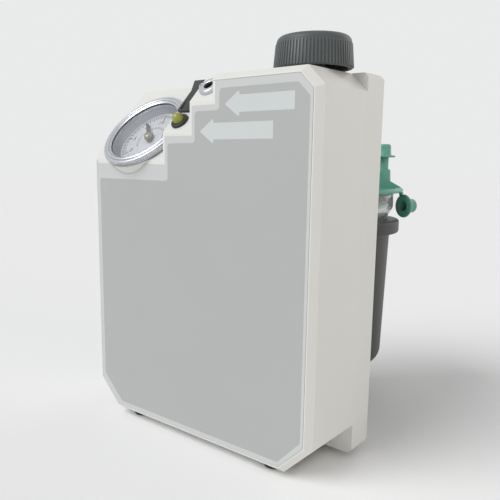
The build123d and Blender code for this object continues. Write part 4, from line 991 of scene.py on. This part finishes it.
def off_axis(vert, x, y):
    """Distance of a vertex from an upright line."""
    return ((vert.co.x - x) ** 2 + (vert.co.y - y) ** 2) ** 0.5


def in_wall(vert):
    """Whether the turned cup stands for the CAD here; the claw on its front stays."""
    claw = (abs(vert.co.x - axis_x) < CLAW_HALF * MM and vert.co.y < axis_y - CLAW_BACK * MM
            and corner.z + CLAW_LOW * MM < vert.co.z < corner.z + CLAW_HIGH * MM)
    return off_axis(vert, axis_x, axis_y) < (RING_R + 0.1) * MM and not claw


inside = [f for f in claw_keep.faces if all(in_wall(v) for v in f.verts)]
bmesh.ops.delete(claw_keep, geom=inside, context="FACES")
claw_keep.to_mesh(cup_block.data)
claw_keep.free()
finish_piece(cup, "canister_cup")


def jar_r(height):
    """Outer radius of the jar inside the cup."""
    return cup_r(height) - 2.7


jar_profile = ([(0, 33.6), (26, 33.6), (27, 32.7), (jar_r(42) - 11, 32.7)]
               + arc((jar_r(45) - 11.2, 43.9), 11.2, -85, -3, 8)
               + [(jar_r(143), 143.0), (43.6, 145.2), (46.4, 150.0), (47.2, 151.6), (47.5, 153.0),
                  (47.5, 162.2), (47.0, 163.0), (46.2, 163.0), (45.7, 162.2), (45.7, 152.2), (44.6, 149.8),
                  (42.0, 145.6), (jar_r(143) - 1.8, 143.4)]
               + arc((jar_r(45) - 11.4, 44.4), 9.6, -3, -85, 8) + [(26, 35.6), (0, 35.6)])
jar = turned("jar_wall", jar_profile, jar_at, jar_clear, 128, 0.0, 40)
finish_piece(jar, "canister_jar")
print("cup and jar", len(cup.data.polygons), len(jar.data.polygons))

# %% Lid
LID_Z, LID_R, LID_T = 163.5, 54.0, 3.0
top = LID_Z + LID_T
lid_profile = ([(0, LID_Z - 1), (40.9, LID_Z - 1), (40.9, LID_Z - 9), (45.4, LID_Z - 9),
                (45.4, LID_Z - 6.2), (42.9, LID_Z - 6.2), (42.9, LID_Z - 2.8), (45.4, LID_Z - 2.8),
                (45.4, LID_Z), (LID_R - 0.9, LID_Z)]
               + arc((LID_R - 1.3, LID_Z + 1.5), 1.4, -70, 70)
               + [(LID_R - 2.2, top), (LID_R - 5.0, top), (LID_R - 6.0, top - 0.7), (38.0, top - 0.8),
                  (36.0, top - 0.8), (12.0, top - 0.8), (11.0, top), (0, top)])
lid = turned("lid_disc", lid_profile, jar_at, teal, 128, 0.15)
PORT_FOOT = top - 1
port_profile = [(2.6, PORT_FOOT), (6.4, PORT_FOOT), (6.3, PORT_FOOT + 1.2), (5.6, top + 12.8),
                (5.0, top + 13.6), (3.9, top + 13.8), (3.9, top + 30.0), (2.6, top + 30.0)]
port = turned("lid_port", port_profile, cap_at, teal, 64, 0.2)
cad_lid = dressed("canister_lid", teal, 0.35)
keep = bmesh.new()
keep.from_mesh(cad_lid.data)
cap_x, cap_y = cap_at.translation.x, cap_at.translation.y
drop = [f for f in keep.faces if all(v.co.z < corner.z + (top - 0.7) * MM for v in f.verts)
        or all(off_axis(v, cap_x, cap_y) < 6.6 * MM for v in f.verts)
        or all(off_axis(v, axis_x, axis_y) > 46 * MM and v.co.z < corner.z + (top + 0.2) * MM
               for v in f.verts)]
bmesh.ops.delete(keep, geom=drop, context="FACES")
keep.to_mesh(cad_lid.data)
keep.free()
finish_piece(lid, "canister_lid")
finish_piece(port, "canister_lid")
print("lid faces", len(lid.data.polygons) + len(cad_lid.data.polygons))

# %% Caps and tether
CAP_FLANGE_R, CAP_R, CAP_LEN = 8.7, 5.5, 10.0
cap_profile = ([(3.95, 0.0), (CAP_FLANGE_R - 0.5, 0.0)] + arc((CAP_FLANGE_R - 0.75, 0.75), 0.75, -60, 70, 5)
               + [(CAP_R + 0.7, 1.55), (CAP_R + 0.1, 2.1), (CAP_R - 0.35, CAP_LEN - 2.2)]
               + arc((CAP_R - 2.2, CAP_LEN - 1.9), 1.9, 5, 85, 5)
               + [(0, CAP_LEN), (0, 8.6), (3.95, 8.6)])
cap_base = (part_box("port_cap")[0].z - corner.z) / MM
cap_place = cap_at @ Matrix.Translation((0, 0, cap_base))
cap = turned("cap_on_port", cap_profile[::-1], cap_place, teal, 64, 0.0, 50)
finish_piece(cap, "port_cap")
SPARE_HEADING = radians(65.0)
heading = Vector((cos(SPARE_HEADING), sin(SPARE_HEADING), 0))
sideways = Vector((sin(SPARE_HEADING), -cos(SPARE_HEADING), 0))
UPWARD = Vector((0, 0, 1))
low, high = local_box("spare_cap", sideways, UPWARD, heading)
spare_origin = sideways * (low.x + high.x) / 2 + UPWARD * (low.y + high.y) / 2 + heading * low.z
spare_at = place_of(spare_origin, sideways, heading.cross(sideways), heading)
spare = turned("cap_on_tether", cap_profile[::-1], spare_at, teal, 64, 0.0, 50)
finish_piece(spare, "spare_cap")
dressed("cap_tether", teal, 0.25)
print("caps ready")

# %% [markdown]
# ## Feet, screws and fittings
# Four rubber feet and the screws of the back are one shape each, set on points by the second
# tree. The points are the middles of the separate solids of each node.


# %% Feet and screws
def island_boxes(node):
    """Lowest and highest corner of each loose solid of a node."""
    work = bmesh.new()
    work.from_mesh(frame["nodes"][node].data)
    bmesh.ops.remove_doubles(work, verts=work.verts, dist=0.001 * MM)
    work.verts.ensure_lookup_table()
    left, boxes = set(work.verts), []
    while left:
        group, edge = [], [left.pop()]
        while edge:
            vert = edge.pop()
            group.append(vert.co.copy())
            for link in vert.link_edges:
                other = link.other_vert(vert)
                if other in left:
                    left.remove(other)
                    edge.append(other)
        boxes.append([Vector([pick(p[k] for p in group) for k in range(3)]) for pick in (min, max)])
    work.free()
    return sorted(boxes, key=lambda b: tuple(round(v, 4) for v in b[0]))


def repeated(node, name, profile, finish, axis="Z", steps=48):
    """One turned shape at every solid of a node; its profile is measured from the solid's outer end."""
    boxes = island_boxes(node)
    turn = Matrix.Identity(4) if axis == "Z" else Matrix.Rotation(radians(-90), 4, "X")
    stamp = turned("stamp", profile, turn, finish, steps, 0.0)
    points = []
    for low, high in boxes:
        mid = (low + high) / 2
        outer = Vector((mid.x, mid.y, low.z)) if axis == "Z" else Vector((mid.x, high.y, mid.z))
        points.append(tuple((outer - corner) / MM))
    return finish_piece(on_points(name, stamp, points, case_at, finish), node)


FOOT_H = 4.0
foot_profile = ([(3.7, 0.0), (5.6, 0.0)] + arc((5.6, 0.8), 0.8, -80, 0, 4)[1:]
                + [(7.0, FOOT_H), (2.2, FOOT_H), (2.2, 2.4), (3.7, 2.4)])
feet = repeated("rubber_feet", "foot_pads", foot_profile, rubber_black)
HEAD_R, HEAD_H = 3.4, 2.2


def pan_head(name, node, shank, finish):
    """Pan head with a round recess, outer end at 0 and the shank going the other way."""
    end = -HEAD_H - shank
    profile = ([(0, end), (1.8, end), (1.8, -HEAD_H), (HEAD_R, -HEAD_H), (HEAD_R, -1.2)]
               + arc((HEAD_R - 1.2, -1.2), 1.2, 10, 80, 4) + [(1.2, -0.02), (0.9, -0.9), (0, -1.0)])
    return repeated(node, name, profile, finish, "Y")


case_heads = pan_head("case_screw_heads", "case_screws", 24.0, steel_plain)
pan_head("bracket_screw_heads", "bracket_screws", 4.0, steel_plain)
print("feet and screws", len(feet.data.polygons), len(case_heads.data.polygons))

# %% Remaining nodes keep their CAD shape
KEPT = {"foot_screws": steel_plain, "cup_bracket": cup_dark, "inlet_fitting": cup_dark}
for node, finish in KEPT.items():
    dressed(node, finish, 0.3)
INNER = {
    "gauge_case": black_moulded, "gauge_sector": brass_warm, "gauge_plate": brass_warm,
    "bourdon_tube": brass_warm, "switch_terminals": brass_warm, "socket_pin": steel_plain,
    "valve_stem": steel_plain, "valve_body": brass_warm,
    "valve_nut": steel_plain, "pump_motor": motor_can, "pump_shaft": steel_plain, "pump_body": cast_grey,
    "pump_rod": cup_dark, "diaphragm": rubber_black, "pump_head": cast_grey, "head_screws": steel_plain,
    "pump_bracket": steel_plain, "battery": battery_black, "battery_terminals": brass_warm,
    "battery_strap": steel_plain,
    "control_board": board_green, "board_parts": black_moulded, "vacuum_hose": rubber_black,
    "exhaust_muffler": cup_dark, "lid_seal": rubber_black, "float_cage": float_white, "float_ball": float_white,
}
for node, finish in INNER.items():
    mesh = frame["nodes"][node].data
    mesh.materials.clear()
    mesh.materials.append(finish)
print("inner nodes", len(INNER))

# %% [markdown]
# ## Floor
# A plain pale floor, which is not part of the object.

# %% Floor
floor_mesh = bpy.data.meshes.new("floor")
SPAN, FLOOR_GAP = 6.0, 0.0002
floor_corners = [(-SPAN, -SPAN, 0), (SPAN, -SPAN, 0), (SPAN, SPAN, 0), (-SPAN, SPAN, 0)]
floor_mesh.from_pydata(floor_corners, [], [(0, 1, 2, 3)])
floor = new_object("floor", floor_mesh)
floor.location.z = cad_low.z - FLOOR_GAP
paint = Finish("floor_paint")
speck = paint.noise(30, 3.0)
paint.surface(Base_Color=paint.mix(speck, (*FLOOR_PAINT, 1), (*[c * 0.99 for c in FLOOR_PAINT], 1)),
              Roughness=0.9 + speck * 0.05, Specular_IOR_Level=0.0)
floor_mesh.materials.append(paint.material)
